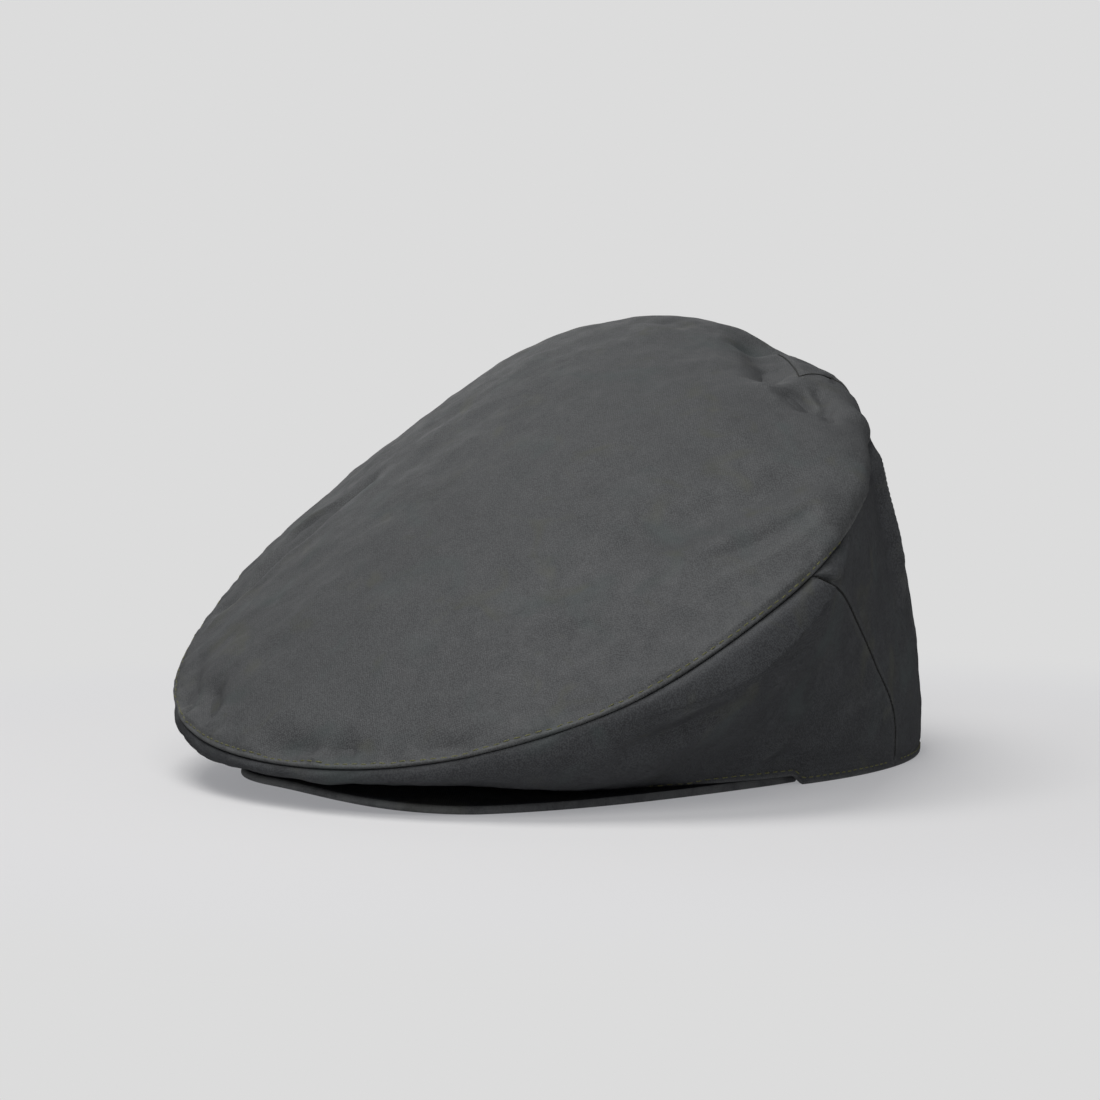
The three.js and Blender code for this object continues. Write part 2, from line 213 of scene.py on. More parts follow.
WALL_FOLDS = tuple(Fold(*row) for row in (
    (LEDGE, 9.5, 5.5, ((43, 3.4), (57, 2.95), (63, 2.9), (67.5, 3.03), (73.5, 3.2), (79, 3.35), (88, 3.8))),
    (CREASE, 3, -1.3, ((47, 2.42), (54.5, 2.25), (58.5, 2.2), (63, 2.25))),
    (CREASE, 3, 0.6, ((50, 2.85), (57, 2.6), (61, 2.6))),
    (CREASE, 3.5, 1.0, ((116, 4.4), (122, 3.2), (125, 2.43), (130, 1.7), (134, 1.3))),
    (STEP, 4, 0.9, ((112, 4.0), (119, 3.2), (122, 2.43), (127, 1.7), (131, 1.2))),
    (CREASE, 2.5, 0.9, ((130, 1.9), (136, 1.55), (138, 1.0))),
    (CREASE, 3.5, 0.6, ((94, 0.8), (105, 0.85), (117, 0.95))),
    (CREASE, 3.5, -0.5, ((93, 1.3), (104, 1.4), (112, 1.5))),
    (CREASE, 2.2, -1.5, ((72, 0.2), (78, 0.3), (81, 0.3), (97.5, 0.27), (117, 0.2))),
    (CREASE, 2.5, 0.7, ((73.5, 0.35), (82, 0.65))),
))


def smooth_share(low: float, high: float, value: np.ndarray) -> np.ndarray:
    """Rises smoothly from 0 to 1 as value goes from low to high."""
    share = np.clip((value - low) / (high - low), 0.0, 1.0)
    return share * share * (3.0 - 2.0 * share)


def unit(vectors: np.ndarray) -> np.ndarray:
    """Scales each vector to length 1."""
    return vectors / np.maximum(np.linalg.norm(vectors, axis=-1, keepdims=True), 1e-9)


def degrees_from_front(around: np.ndarray) -> np.ndarray:
    """How far a direction is from the front, from 0 to 180 degrees."""
    return np.abs(np.mod(around + 180.0, 360.0) - 180.0)


def outward(around: np.ndarray) -> np.ndarray:
    """The level direction away from the middle axis at an angle."""
    turn = np.radians(around)
    return np.stack([np.sin(turn), -np.cos(turn), np.zeros_like(turn)], -1)


def on_plane(around: np.ndarray, reach: np.ndarray, height: np.ndarray) -> np.ndarray:
    """Gives the points of a section's plane.

    Args:
        around: the section's angle in degrees.
        reach: the distance from the middle axis.
        height: the height above the floor.

    Returns:
        Points with a last axis of x, y and z.
    """
    point = outward(around) * np.asarray(reach)[..., None]
    point[..., 2] = height
    return point


def smooth_table(keys: list[float], values: list[float]) -> SeamLine:
    """A smooth curve through the rows of a short table.

    Args:
        keys: the table's places, rising.
        values: the value at each place.

    Returns:
        A function from a place to the value there.
    """
    x = np.asarray(keys, float)
    y = np.asarray(values, float)
    slope = np.gradient(y, x)

    def evaluate(at: np.ndarray) -> np.ndarray:
        """Gives the curve's value at each place.

        Args:
            at: places between the first and the last row.

        Returns:
            A value for each place.
        """
        at = np.clip(np.asarray(at, float), x[0], x[-1])
        i = np.clip(np.searchsorted(x, at) - 1, 0, len(x) - 2)
        span = x[i + 1] - x[i]
        t = (at - x[i]) / span
        return (
            y[i] * (1 + 2 * t) * (1 - t) ** 2 + span * slope[i] * t * (1 - t) ** 2
            + y[i + 1] * t * t * (3 - 2 * t) + span * slope[i + 1] * t * t * (t - 1)
        )

    return evaluate


@dataclass
class CapBody:
    """The smooth body that all the cloth panels are cut from, in millimetres.

    A place on it has two numbers: around, in degrees from the front towards the wearer's left,
    and level, 0 at the hem, 4 at the crown seam and 9 at the middle of the top.
    """

    hem_half_width: float = 81.0
    hem_half_length: float = 103.0
    wall: float = 1.6
    front_wall: float = 1.1
    front_wall_spread: float = 45.0
    rest_gap: float = 0.45
    crown_rise: float = 21.0
    crown_fullness: float = 2.3
    crown_normal: tuple[float, float, float] = (0.0, -0.48, 0.877)
    peak_thickness: float = 2.4
    peak_arch: float = 4.6
    peak_arch_middle: float = -6.0
    peak_arch_half_width: float = 66.0
    peak_arch_power: float = 1.3
    hem_step_start: float = 84.0
    hem_step_end: float = 87.5
    top_shares: tuple[float, float, float] = (0.22, 0.48, 0.76)
    harmonics: int = 10
    harmonic_samples: int = 64
    table_step: float = 0.25
    slope_around: float = 1.5
    slope_level: float = 0.2
    table: np.ndarray = field(init=False)
    cos_waves: np.ndarray = field(init=False)
    sin_waves: np.ndarray = field(init=False)

    def __post_init__(self) -> None:
        """Works out the control points once at small steps around the cap."""
        samples = np.arange(self.harmonic_samples) * 360.0 / self.harmonic_samples
        lip = self.lip(samples)
        waves = np.arange(self.harmonics + 1)
        weight = np.where(waves == 0, 1.0, 2.0) / self.harmonic_samples
        turns = np.radians(np.outer(waves, samples))
        self.cos_waves = (np.cos(turns) * weight[:, None]) @ lip
        self.sin_waves = (np.sin(turns) * weight[:, None]) @ lip
        around = np.arange(0.0, 360.0 + self.table_step, self.table_step)
        self.table = self._controls(around)

    def column(self, name: str, around: np.ndarray) -> np.ndarray:
        """Reads a column of the section table as a closed Catmull-Rom curve.

        Args:
            name: the column's name.
            around: angles in degrees.

        Returns:
            The column's value at each angle.
        """
        values = np.array([getattr(row, name) for row in SECTIONS], float)
        count = len(values)
        place = np.mod(around, 360.0) / (360.0 / count)
        first = np.floor(place).astype(int)
        t = place - first
        a, b, c, d = (values[(first + step) % count] for step in (-1, 0, 1, 2))
        return 0.5 * (
            2 * b + (c - a) * t + (2 * a - 5 * b + 4 * c - d) * t**2
            + (3 * b - a - 3 * c + d) * t**3
        )

    def hem_radius(self, around: np.ndarray) -> np.ndarray:
        """The head opening's radius at an angle."""
        out = outward(around)
        return 1.0 / np.hypot(out[..., 0] / self.hem_half_width, out[..., 1] / self.hem_half_length)

    def peak_height(self, x: np.ndarray) -> np.ndarray:
        """The underside of the peak above the floor, at a distance to the side."""
        share = np.minimum(np.abs(x - self.peak_arch_middle) / self.peak_arch_half_width, 1.0)
        return self.peak_arch * np.maximum(np.cos(math.pi / 2 * share), 0.0) ** self.peak_arch_power

    def hem_height(self, around: np.ndarray) -> np.ndarray:
        """Gives the hem's height: on the floor at the back and sides, on the peak in front.

        Args:
            around: angles in degrees.

        Returns:
            A height above the floor for each angle.
        """
        on_peak = 1.0 - smooth_share(
            self.hem_step_start, self.hem_step_end, degrees_from_front(around)
        )
        x = self.hem_radius(around) * np.sin(np.radians(around))
        return on_peak * (self.peak_height(x) + self.peak_thickness + self.rest_gap)

    def lip(self, around: np.ndarray) -> np.ndarray:
        """Gives the control points just above the crown seam.

        Args:
            around: angles in degrees.

        Returns:
            A point for each angle.
        """
        reach = self.column("reach", around) + self.column("lip_out", around)
        height = self.column("height", around) + self.column("lip_up", around)
        return on_plane(around, reach, height)

    def pillow(self, around: np.ndarray, distance: float) -> np.ndarray:
        """The top's control surface: a film across the lip, raised into a pillow.

        Args:
            around: angles in degrees.
            distance: share of the way from the middle to the lip.

        Returns:
            A point for each angle.
        """
        waves = np.arange(self.harmonics + 1)
        turns = np.radians(np.multiply.outer(around, waves))
        fade = distance**waves
        point = (np.cos(turns) * fade) @ self.cos_waves + (np.sin(turns) * fade) @ self.sin_waves
        rise = self.crown_rise * (1.0 - distance**self.crown_fullness)
        return point + np.array(self.crown_normal) * rise

    def _controls(self, around: np.ndarray) -> np.ndarray:
        """Works out the control points, from one before the hem to one past the middle.

        Args:
            around: angles in degrees.

        Returns:
            A row of points for each angle.
        """
        reach, height = self.column("reach", around), self.column("height", around)
        hem = on_plane(around, self.hem_radius(around), self.hem_height(around))
        wall = on_plane(
            around,
            self.hem_radius(around) + self.column("wall_out", around),
            hem[..., 2] + self.column("wall_up", around),
        )
        under = on_plane(
            around,
            reach - self.column("under_in", around),
            height - self.column("under_down", around),
        )
        edge = on_plane(
            around,
            reach + self.column("edge_out", around),
            height - self.column("edge_down", around),
        )
        lip = self.lip(around)
        seam = (6.0 * on_plane(around, reach, height) - edge - lip) / 4.0
        inner = [self.pillow(around, 1.0 - share) for share in self.top_shares]
        middle = self.pillow(around, 0.0)
        beyond = self.pillow(around + 180.0, 1.0 - self.top_shares[-1])
        return np.stack([2.0 * hem - wall, hem, wall, under, edge, seam, lip, *inner, middle, beyond], 1)

    def point(self, around: np.ndarray, level: np.ndarray) -> np.ndarray:
        """The body's surface without its folds, a cubic B-spline along each section.

        Args:
            around: angles in degrees, of any shape.
            level: levels, of the same shape.

        Returns:
            Points with a last axis of x, y and z.
        """
        around, level = np.broadcast_arrays(np.asarray(around, float), np.asarray(level, float))
        shape = around.shape
        place = np.mod(around.ravel(), 360.0) / self.table_step
        column = np.minimum(np.floor(place).astype(int), len(self.table) - 2)
        share = (place - column)[:, None]
        level = np.clip(level.ravel(), HEM_LEVEL, MIDDLE_LEVEL)
        first = np.minimum(np.floor(level).astype(int), int(MIDDLE_LEVEL) - 1)
        f = level - first
        weights = (
            (1 - f) ** 3, 3 * f**3 - 6 * f**2 + 4, 3 * f - 3 * f**3 + 3 * f**2 + 1, f**3,
        )
        total = 0.0
        for i, weight in enumerate(weights):
            low, high = self.table[column, first + i], self.table[column + 1, first + i]
            total = total + (weight / 6.0)[:, None] * (low + (high - low) * share)
        return total.reshape(shape + (3,))

    def normal(self, around: np.ndarray, level: np.ndarray) -> np.ndarray:
        """Works out the way out of the cloth, from its slopes round the cap and up the section.

        Args:
            around: angles in degrees.
            level: levels, of the same shape.

        Returns:
            Directions with a last axis of x, y and z.
        """
        level = np.minimum(level, MIDDLE_LEVEL - self.slope_level)
        along = self.point(around + self.slope_around, level)
        along = along - self.point(around - self.slope_around, level)
        rising = self.point(around, level + self.slope_level)
        rising = rising - self.point(around, level - self.slope_level)
        return unit(np.cross(along, rising))

    def thickness(self, around: np.ndarray) -> np.ndarray:
        """The cloth's thickness, pressed thinner at the front."""
        share = smooth_share(0.0, self.front_wall_spread, degrees_from_front(around))
        return self.front_wall + (self.wall - self.front_wall) * share


@dataclass
class FoldLine:
    """A fold laid out on the body as a short chain of points, with its height profile.

    Fade is a share of the fold's length, and the sizes after it are shares of its width.
    """

    fold: Fold
    body: CapBody
    joints: int = 13
    fade: float = 0.25
    reach: float = 3.5
    crease_tip: float = 0.3
    crease_slope: float = 0.7
    ledge_reach: float = 1.5
    ledge_under: float = 0.22
    ledge_over: float = 0.06
    step_slope: float = 0.25
    step_reach: float = 2.0
    chain: np.ndarray = field(init=False)
    sides: np.ndarray = field(init=False)

    def __post_init__(self) -> None:
        """Lays the chain on the body; a soft fold runs straight between its two ends."""
        places = np.array(self.fold.places, float)
        if self.fold.kind is not FoldKind.SOFT:
            share = np.linspace(0.0, len(places) - 1.0, self.joints)
            steps = np.arange(len(places))
            places = np.stack([np.interp(share, steps, places[:, k]) for k in (0, 1)], -1)
        self.chain = self.body.point(places[:, 0], places[:, 1])
        normals = self.body.normal(places[:, 0], places[:, 1])
        self.sides = unit(np.cross(normals[:-1], np.diff(self.chain, axis=0)))

    def height(self, points: np.ndarray) -> np.ndarray:
        """Gives the fold's height at each point.

        Args:
            points: places on the body, one a row.

        Returns:
            Millimetres along the cloth's normal.
        """
        total = np.zeros(len(points))
        middle = self.chain.mean(0)
        size = np.linalg.norm(self.chain - middle, axis=1).max()
        near = np.linalg.norm(points - middle, axis=1) < size + self.reach * self.fold.width
        if not near.any():
            return total
        inside = points[near]
        best = np.full(len(inside), np.inf)
        place = np.zeros(len(inside))
        signed = np.zeros(len(inside))
        spans = len(self.chain) - 1
        for i in range(spans):
            start, line = self.chain[i], self.chain[i + 1] - self.chain[i]
            t = np.clip((inside - start) @ line / max(line @ line, 1e-9), 0.0, 1.0)
            away = inside - start - t[:, None] * line
            distance = np.linalg.norm(away, axis=1)
            closer = distance < best
            best = np.where(closer, distance, best)
            place = np.where(closer, (i + t) / spans, place)
            signed = np.where(closer, away @ self.sides[i], signed)
        total[near] = self.fold.depth * self._profile(best, signed, place)
        return total

    def _profile(self, distance: np.ndarray, signed: np.ndarray, place: np.ndarray) -> np.ndarray:
        """Gives the cross-section's height.

        Args:
            distance: millimetres from the line.
            signed: millimetres to the line's left as seen from outside, or to its right if below 0.
            place: share of the way along the line.

        Returns:
            A height from -1 to 1.
        """
        width = self.fold.width
        if self.fold.kind is FoldKind.SOFT:
            return np.exp(-((distance / width) ** 2))
        fade = smooth_share(0.0, self.fade, place) * smooth_share(0.0, self.fade, 1.0 - place)
        if self.fold.kind is FoldKind.CREASE:
            tip = self.crease_tip * width
            return fade * np.exp(-(np.hypot(distance, tip) - tip) / (self.crease_slope * width))
        if self.fold.kind is FoldKind.LEDGE:
            swell = np.clip(1.0 - signed / width, 0.0, 1.0)
            swell = swell * (1.0 - smooth_share(width, self.ledge_reach * width, distance))
            edge = smooth_share(-self.ledge_under * width, self.ledge_over * width, signed)
            return fade * swell * edge
        spread = np.exp(-((distance / (self.step_reach * width)) ** 2))
        return fade * np.tanh(signed / (self.step_slope * width)) * spread


@dataclass(frozen=True)
class Crumple:
    """A seeded field of small random waves, as cloth keeps from handling."""

    seed: int
    shortest: float
    longest: float
    height: float
    waves: int = 28

    def at(self, points: np.ndarray) -> np.ndarray:
        """Gives the field's height at each point.

        Args:
            points: places on the body, with a last axis of x, y and z.

        Returns:
            Millimetres along the cloth's normal.
        """
        rng = np.random.default_rng(self.seed)
        directions = unit(rng.normal(size=(self.waves, 3)))
        lengths = np.exp(rng.uniform(math.log(self.shortest), math.log(self.longest), self.waves))
        phases = rng.uniform(0.0, 2.0 * math.pi, self.waves)
        turns = points @ (directions * (2.0 * math.pi / lengths)[:, None]).T + phases
        return self.height * np.cos(turns).sum(-1) / math.sqrt(self.waves / 2.0)


@dataclass(frozen=True)
class Gathers:
    """Short seeded creases that run in from the front of the crown seam.

    A pair of numbers is the least and the most of what is drawn for each crease.
    """

    seed: int = 17
    first: float = -40.0
    last: float = 84.0
    spacing: tuple[float, float] = (4.0, 8.0)
    lean: tuple[float, float] = (-2.0, 2.0)
    depth: tuple[float, float] = (0.4, 1.0)
    start_level: float = 4.05
    end_level: tuple[float, float] = (4.7, 5.1)
    width: tuple[float, float] = (2.5, 4.0)

    def folds(self) -> Iterator[Fold]:
        """Gives the creases one by one.

        Yields:
            A crease that stands proud or lies sunk.
        """
        rng = np.random.default_rng(self.seed)
        around = self.first
        while around < self.last:
            around += rng.uniform(*self.spacing)
            lean = rng.uniform(*self.lean)
            depth = rng.choice((-1.0, 1.0)) * rng.uniform(*self.depth)
            places = ((around, self.start_level), (around + lean, rng.uniform(*self.end_level)))
            yield Fold(FoldKind.CREASE, rng.uniform(*self.width), depth, places)


@dataclass
class Relief:
    """Everything that lifts or sinks the cloth from the smooth body."""

    body: CapBody
    broad: Crumple = Crumple(seed=3, shortest=14.0, longest=34.0, height=0.20)
    small: Crumple = Crumple(seed=5, shortest=4.5, longest=10.0, height=0.05)
    gathers: Gathers = Gathers()
    # Raised creases are lightened: partly rubbed wax, partly a painted highlight along the ridge.
    ridge_wear_and_highlight: float = 0.25
    main: list[FoldLine] = field(init=False)
    fine: list[FoldLine] = field(init=False)

    def __post_init__(self) -> None:
        """Lays out the fold lines on the body."""
        fine = (*TOP_FOLDS, *WALL_FOLDS, *self.gathers.folds())
        self.main = [FoldLine(fold, self.body) for fold in MAIN_FOLDS]
        self.fine = [FoldLine(fold, self.body) for fold in fine]

    def main_height(self, points: np.ndarray) -> np.ndarray:
        """The height of the large folds, which both faces of the cloth follow."""
        return sum(line.height(points) for line in self.main)

    def fine_relief(self, points: np.ndarray) -> tuple[np.ndarray, np.ndarray]:
        """Works out the creases and crumples on the outer face.

        Args:
            points: places on the body, one a row.

        Returns:
            The height in millimetres, and how far ridges are lightened, from 0 to 1, as rubbed wax and
            painted highlight.
        """
        height = self.broad.at(points) + self.small.at(points)
        wear = np.zeros(len(points))
        for line in self.fine:
            rise = line.height(points)
            height = height + rise
            # A raised crease gets a lighter mark: rubbed wax and a painted highlight along its ridge.
            if line.fold.kind is FoldKind.CREASE and line.fold.depth > 0.0:
                wear = np.maximum(wear, self.ridge_wear_and_highlight * rise**2)
        return height, wear


@dataclass(frozen=True)
class WearBand:
    """A soft line of rubbed cloth beside an edge, in millimetres."""

    away: float
    width: float
    amount: float

    def at(self, distance: np.ndarray) -> np.ndarray:
        """How far the cloth is rubbed at a distance from the edge, from 0 to 1."""
        return self.amount * np.exp(-(((distance - self.away) / self.width) ** 2))


@dataclass(frozen=True)
class EdgeFinish:
    """How a panel's edge turns into a seam or a hem, in millimetres."""

    turn: float = 0.0
    welt: float = 0.0
    welt_width: float = 6.0
    stitch_line: float = 0.0
    stitch_pull: float = 0.0
    stitch_width: float = 0.7
    pucker: float = 0.0
    pucker_start: float = 2.0
    pucker_reach: float = 6.0
    wave_lengths: tuple[float, float] = (6.0, 17.0)
    waves: int = 9
    seed: int = 1

    def height(self, distance: np.ndarray, along: np.ndarray) -> np.ndarray:
        """Works out the outer face's height beside the edge.

        Args:
            distance: millimetres from the edge.
            along: millimetres along the edge.

        Returns:
            Millimetres along the cloth's normal.
        """
        inside = np.clip(self.turn - distance, 0.0, self.turn)
        drop = self.turn - np.sqrt(np.maximum(self.turn**2 - inside**2, 0.0))
        welt = self.welt * np.exp(-((distance / self.welt_width) ** 2))
        pull = self.stitch_pull * np.exp(-(((distance - self.stitch_line) / self.stitch_width) ** 2))
        waves = self._waves(along) * self.pucker * np.exp(-distance / self.pucker_reach)
        return welt - drop - pull + waves * smooth_share(0.0, self.pucker_start, distance)

    def _waves(self, along: np.ndarray) -> np.ndarray:
        """Adds up uneven waves along a seam.

        Args:
            along: millimetres along the edge.

        Returns:
            A height between about -1 and 1.
        """
        rng = np.random.default_rng(self.seed)
        total = np.zeros_like(along)
        for _ in range(self.waves):
            length = rng.uniform(*self.wave_lengths)
            total += np.cos(2.0 * math.pi * along / length + rng.uniform(0.0, 2.0 * math.pi))
        return total / math.sqrt(self.waves)


def rows_by_distance(lengths: np.ndarray, near_start: tuple[float, ...],
                     near_end: tuple[float, ...], count: int, ends_share: float = 0.7) -> np.ndarray:
    """Spaces grid lines along paths: close together at the ends, even in between.

    Args:
        lengths: the length of each path.
        near_start: distances from the start of each path.
        near_end: distances from the end of each path, rising.
        count: how many even steps lie in between.
        ends_share: the most of a short path that both ends may take.

    Returns:
        An array of distances with a row for each path.
    """
    rows = []
    for length in lengths:
        shrink = min(1.0, ends_share * length / (near_start[-1] + near_end[-1]))
        first = [shrink * distance for distance in near_start]
        last = [length - shrink * distance for distance in reversed(near_end)]
        middle = np.linspace(first[-1], last[0], count + 1)[1:-1]
        rows.append(np.concatenate([first, middle, last]))
    return np.array(rows)


def arc_lengths(points: np.ndarray, axis: int = 0) -> np.ndarray:
    """Measures along a path of points from its first point.

    Args:
        points: the path's points, with a last axis of x, y and z.
        axis: the axis that runs along the path.

    Returns:
        A length for each point.
    """
    steps = np.linalg.norm(np.diff(points, axis=axis), axis=-1)
    start = np.zeros_like(np.take(steps, [0], axis=axis))
    return np.concatenate([start, np.cumsum(steps, axis=axis)], axis=axis)


def half_round(centre: np.ndarray, start: np.ndarray, side: np.ndarray, count: int) -> np.ndarray:
    """Lays points on a half circle from centre + start past centre + side.

    Args:
        centre: the middle of each circle.
        start: the radius towards the first end.
        side: the radius towards the middle of the half circle.
        count: how many points lie between the two ends.

    Returns:
        A row of points for each circle, without its two ends.
    """
    turns = np.linspace(0.0, math.pi, count + 2)[1:-1]
    return np.stack([centre + math.cos(turn) * start + math.sin(turn) * side for turn in turns], 1)


def band_faces(low: int, high: int, count: int) -> list[tuple[int, ...]]:
    """Faces between two rings of count points, whose first points are numbered low and high."""
    turns = [(k, (k + 1) % count) for k in range(count)]
    return [(low + k, low + j, high + j, high + k) for k, j in turns]


def loop_faces(columns: int, loop: int) -> list[tuple[int, ...]]:
    """Lists the faces of a skin made of columns, each a closed loop of points.

    Args:
        columns: how many columns there are.
        loop: how many points each column has.

    Returns:
        Faces round the skin, and across its first and last columns from one half of the loop to
        the other. With an odd loop the three points in its middle stay without a face there.
    """
    faces = []
    for i in range(columns - 1):
        faces += band_faces(i * loop, (i + 1) * loop, loop)
    for start in (0, (columns - 1) * loop):
        for k in range(loop // 2 - 1):
            mirror = loop - 1 - k
            faces.append((start + k, start + k + 1, start + mirror - 1, start + mirror))
    return faces


def ring_faces(counts: list[int], first: int) -> list[tuple[int, ...]]:
    """Lists the faces between rings of points, where a ring may have half the last one's points.

    Args:
        counts: how many points each ring has.
        first: the number of the first ring's first point.

    Returns:
        The faces, in order of the rings.
    """
    faces = []
    lower = first
    for count, above in zip(counts, counts[1:]):
        upper = lower + count
        if above == count:
            faces += band_faces(lower, upper, count)
        else:
            for i in range(above):
                a, b, c = lower + 2 * i, lower + 2 * i + 1, lower + (2 * i + 2) % count
                p, q = upper + i, upper + (i + 1) % above
                faces += [(a, b, p), (b, q, p), (b, c, q)]
        lower = upper
    return faces


def link_piece(name: str, points: np.ndarray, faces: list[tuple[int, ...]],
               flat: np.ndarray, wear: np.ndarray | None = None) -> bpy.types.Object:
    """Makes a smooth mesh piece from points in millimetres and links it to the scene.

    Args:
        name: the piece's name.
        points: one point a row, from the cap's middle axis.
        faces: corner numbers of each face.
        flat: two coordinates in millimetres for each point, laid flat on the cloth.
        wear: how far each point is lightened, from 0 to 1, as rubbed wax and painted highlight on ridges.

    Returns:
        The new object.
    """
    mesh = bpy.data.meshes.new(name)
    mesh.from_pydata(((points + SHIFT) * MM).tolist(), [], faces)
    if wear is not None:
        layer = mesh.attributes.new("wear", "FLOAT", "POINT")
        layer.data.foreach_set("value", np.ascontiguousarray(wear, dtype=np.float32))
    corners = np.empty(len(mesh.loops), dtype=np.int32)
    mesh.loops.foreach_get("vertex_index", corners)
    layer = mesh.uv_layers.new(name="cloth")
    layer.uv.foreach_set("vector", np.ascontiguousarray(flat[corners], dtype=np.float32).ravel())
    shape = bmesh.new()
    shape.from_mesh(mesh)
    bmesh.ops.recalc_face_normals(shape, faces=shape.faces)
    shape.to_mesh(mesh)
    shape.free()
    mesh.shade_smooth()
    mesh.set_sharp_from_angle(angle=SHARP_ANGLE)
    piece = bpy.data.objects.new(name, mesh)
    bpy.context.scene.collection.objects.link(piece)
    return piece


class Speckle(NamedTuple):
    """One layer of a finish's noise; the scale is for a metre of cloth."""

    scale: float
    detail: float = 3.0
    roughness: float = 0.55
    distortion: float = 0.0


class Shader:
    """A small helper that adds nodes to one material and links them."""

    def __init__(self, name: str) -> None:
        """Starts an empty node tree.

        Args:
            name: the material's name.
        """
        self.material = bpy.data.materials.new(name)
        self.material.use_nodes = True
        self.tree = self.material.node_tree
        self.tree.nodes.clear()

    def node(self, kind: str, settings: dict | None = None, **inputs: object) -> bpy.types.Node:
        """Adds a node.

        Args:
            kind: the node's type name, without its ShaderNode prefix.
            settings: properties of the node itself.
            inputs: values or output sockets for the node's inputs; an underscore is a space.

        Returns:
            The new node.
        """
        made = self.tree.nodes.new("ShaderNode" + kind)
        for key, value in (settings or {}).items():
            setattr(made, key, value)
        for key, value in inputs.items():
            self.feed(made.inputs[key.replace("_", " ")], value)
        return made

    def feed(self, socket: bpy.types.NodeSocket, value: object) -> None:
        """Links an output to an input, or sets the input's own value.

        Args:
            socket: the input.
            value: the output or the value.
        """
        if isinstance(value, bpy.types.NodeSocket):
            self.tree.links.new(value, socket)
        else:
            socket.default_value = value

    def compute(self, operation: str, *values: object) -> bpy.types.NodeSocket:
        """Adds a math node.

        Args:
            operation: the node's operation.
            values: its inputs, numbers or output sockets.

        Returns:
            The node's output.
        """
        made = self.node("Math", {"operation": operation})
        for socket, value in zip(made.inputs, values):
            self.feed(socket, value)
        return made.outputs[0]

    def total(self, *terms: tuple[bpy.types.NodeSocket, float]) -> bpy.types.NodeSocket:
        """Adds up heights.

        Args:
            terms: each height with the factor that it counts by.

        Returns:
            The sum.
        """
        parts = [self.compute("MULTIPLY", height, factor) for height, factor in terms]
        return reduce(lambda first, second: self.compute("ADD", first, second), parts)

    def noise(self, place: bpy.types.NodeSocket, speckle: Speckle) -> bpy.types.NodeSocket:
        """Adds a noise texture.

        Args:
            place: the coordinates.
            speckle: the noise's settings.

        Returns:
            The noise's height.
        """
        made = self.node(
            "TexNoise", Vector=place, Scale=speckle.scale, Detail=speckle.detail,
            Roughness=speckle.roughness, Distortion=speckle.distortion,
        )
        return made.outputs["Fac"]

    def ramp(self, value: bpy.types.NodeSocket, low: float, high: float, to_low: float = 0.0,
             to_high: float = 1.0) -> bpy.types.NodeSocket:
        """Maps a value smoothly from one range to another, clamped.

        Args:
            value: the value.
            low: the range's lower end.
            high: the range's upper end.
            to_low: what the lower end becomes.
            to_high: what the upper end becomes.

        Returns:
            The mapped value.
        """
        made = self.node("MapRange", {"interpolation_type": "SMOOTHSTEP"}, Value=value)
        for key, number in zip(("From Min", "From Max", "To Min", "To Max"), (low, high, to_low, to_high)):
            made.inputs[key].default_value = number
        return made.outputs["Result"]

    def mix(self, share: object, first: object, second: object) -> bpy.types.NodeSocket:
        """Mixes two colours.

        Args:
            share: how much of the second colour goes in, from 0 to 1.
            first: the first colour.
            second: the second colour.

        Returns:
            The mixed colour.
        """
        made = self.node("Mix", {"data_type": "RGBA"})
        colours = [socket for socket in made.inputs if socket.type == "RGBA"]
        self.feed(made.inputs["Factor"], share)
        self.feed(colours[0], first)
        self.feed(colours[1], second)
        return [socket for socket in made.outputs if socket.type == "RGBA"][0]

    def bump(self, height: object, distance: float, strength: float = 1.0,
             normal: bpy.types.NodeSocket | None = None) -> bpy.types.NodeSocket:
        """Adds a bump.

        Args:
            height: the relief.
            distance: metres for a height of 1.
            strength: how strongly it turns the light.
            normal: the normal of a bump that this one lies on.

        Returns:
            The new normal.
        """
        made = self.node("Bump", Height=height, Distance=distance, Strength=strength)
        if normal is not None:
            self.feed(made.inputs["Normal"], normal)
        return made.outputs["Normal"]

    def finish(self, surface: bpy.types.NodeSocket) -> bpy.types.Material:
        """Links the surface to the material's output.

        Args:
            surface: the shader's output.

        Returns:
            The finished material.
        """
        self.node("OutputMaterial", Surface=surface)
        return self.material


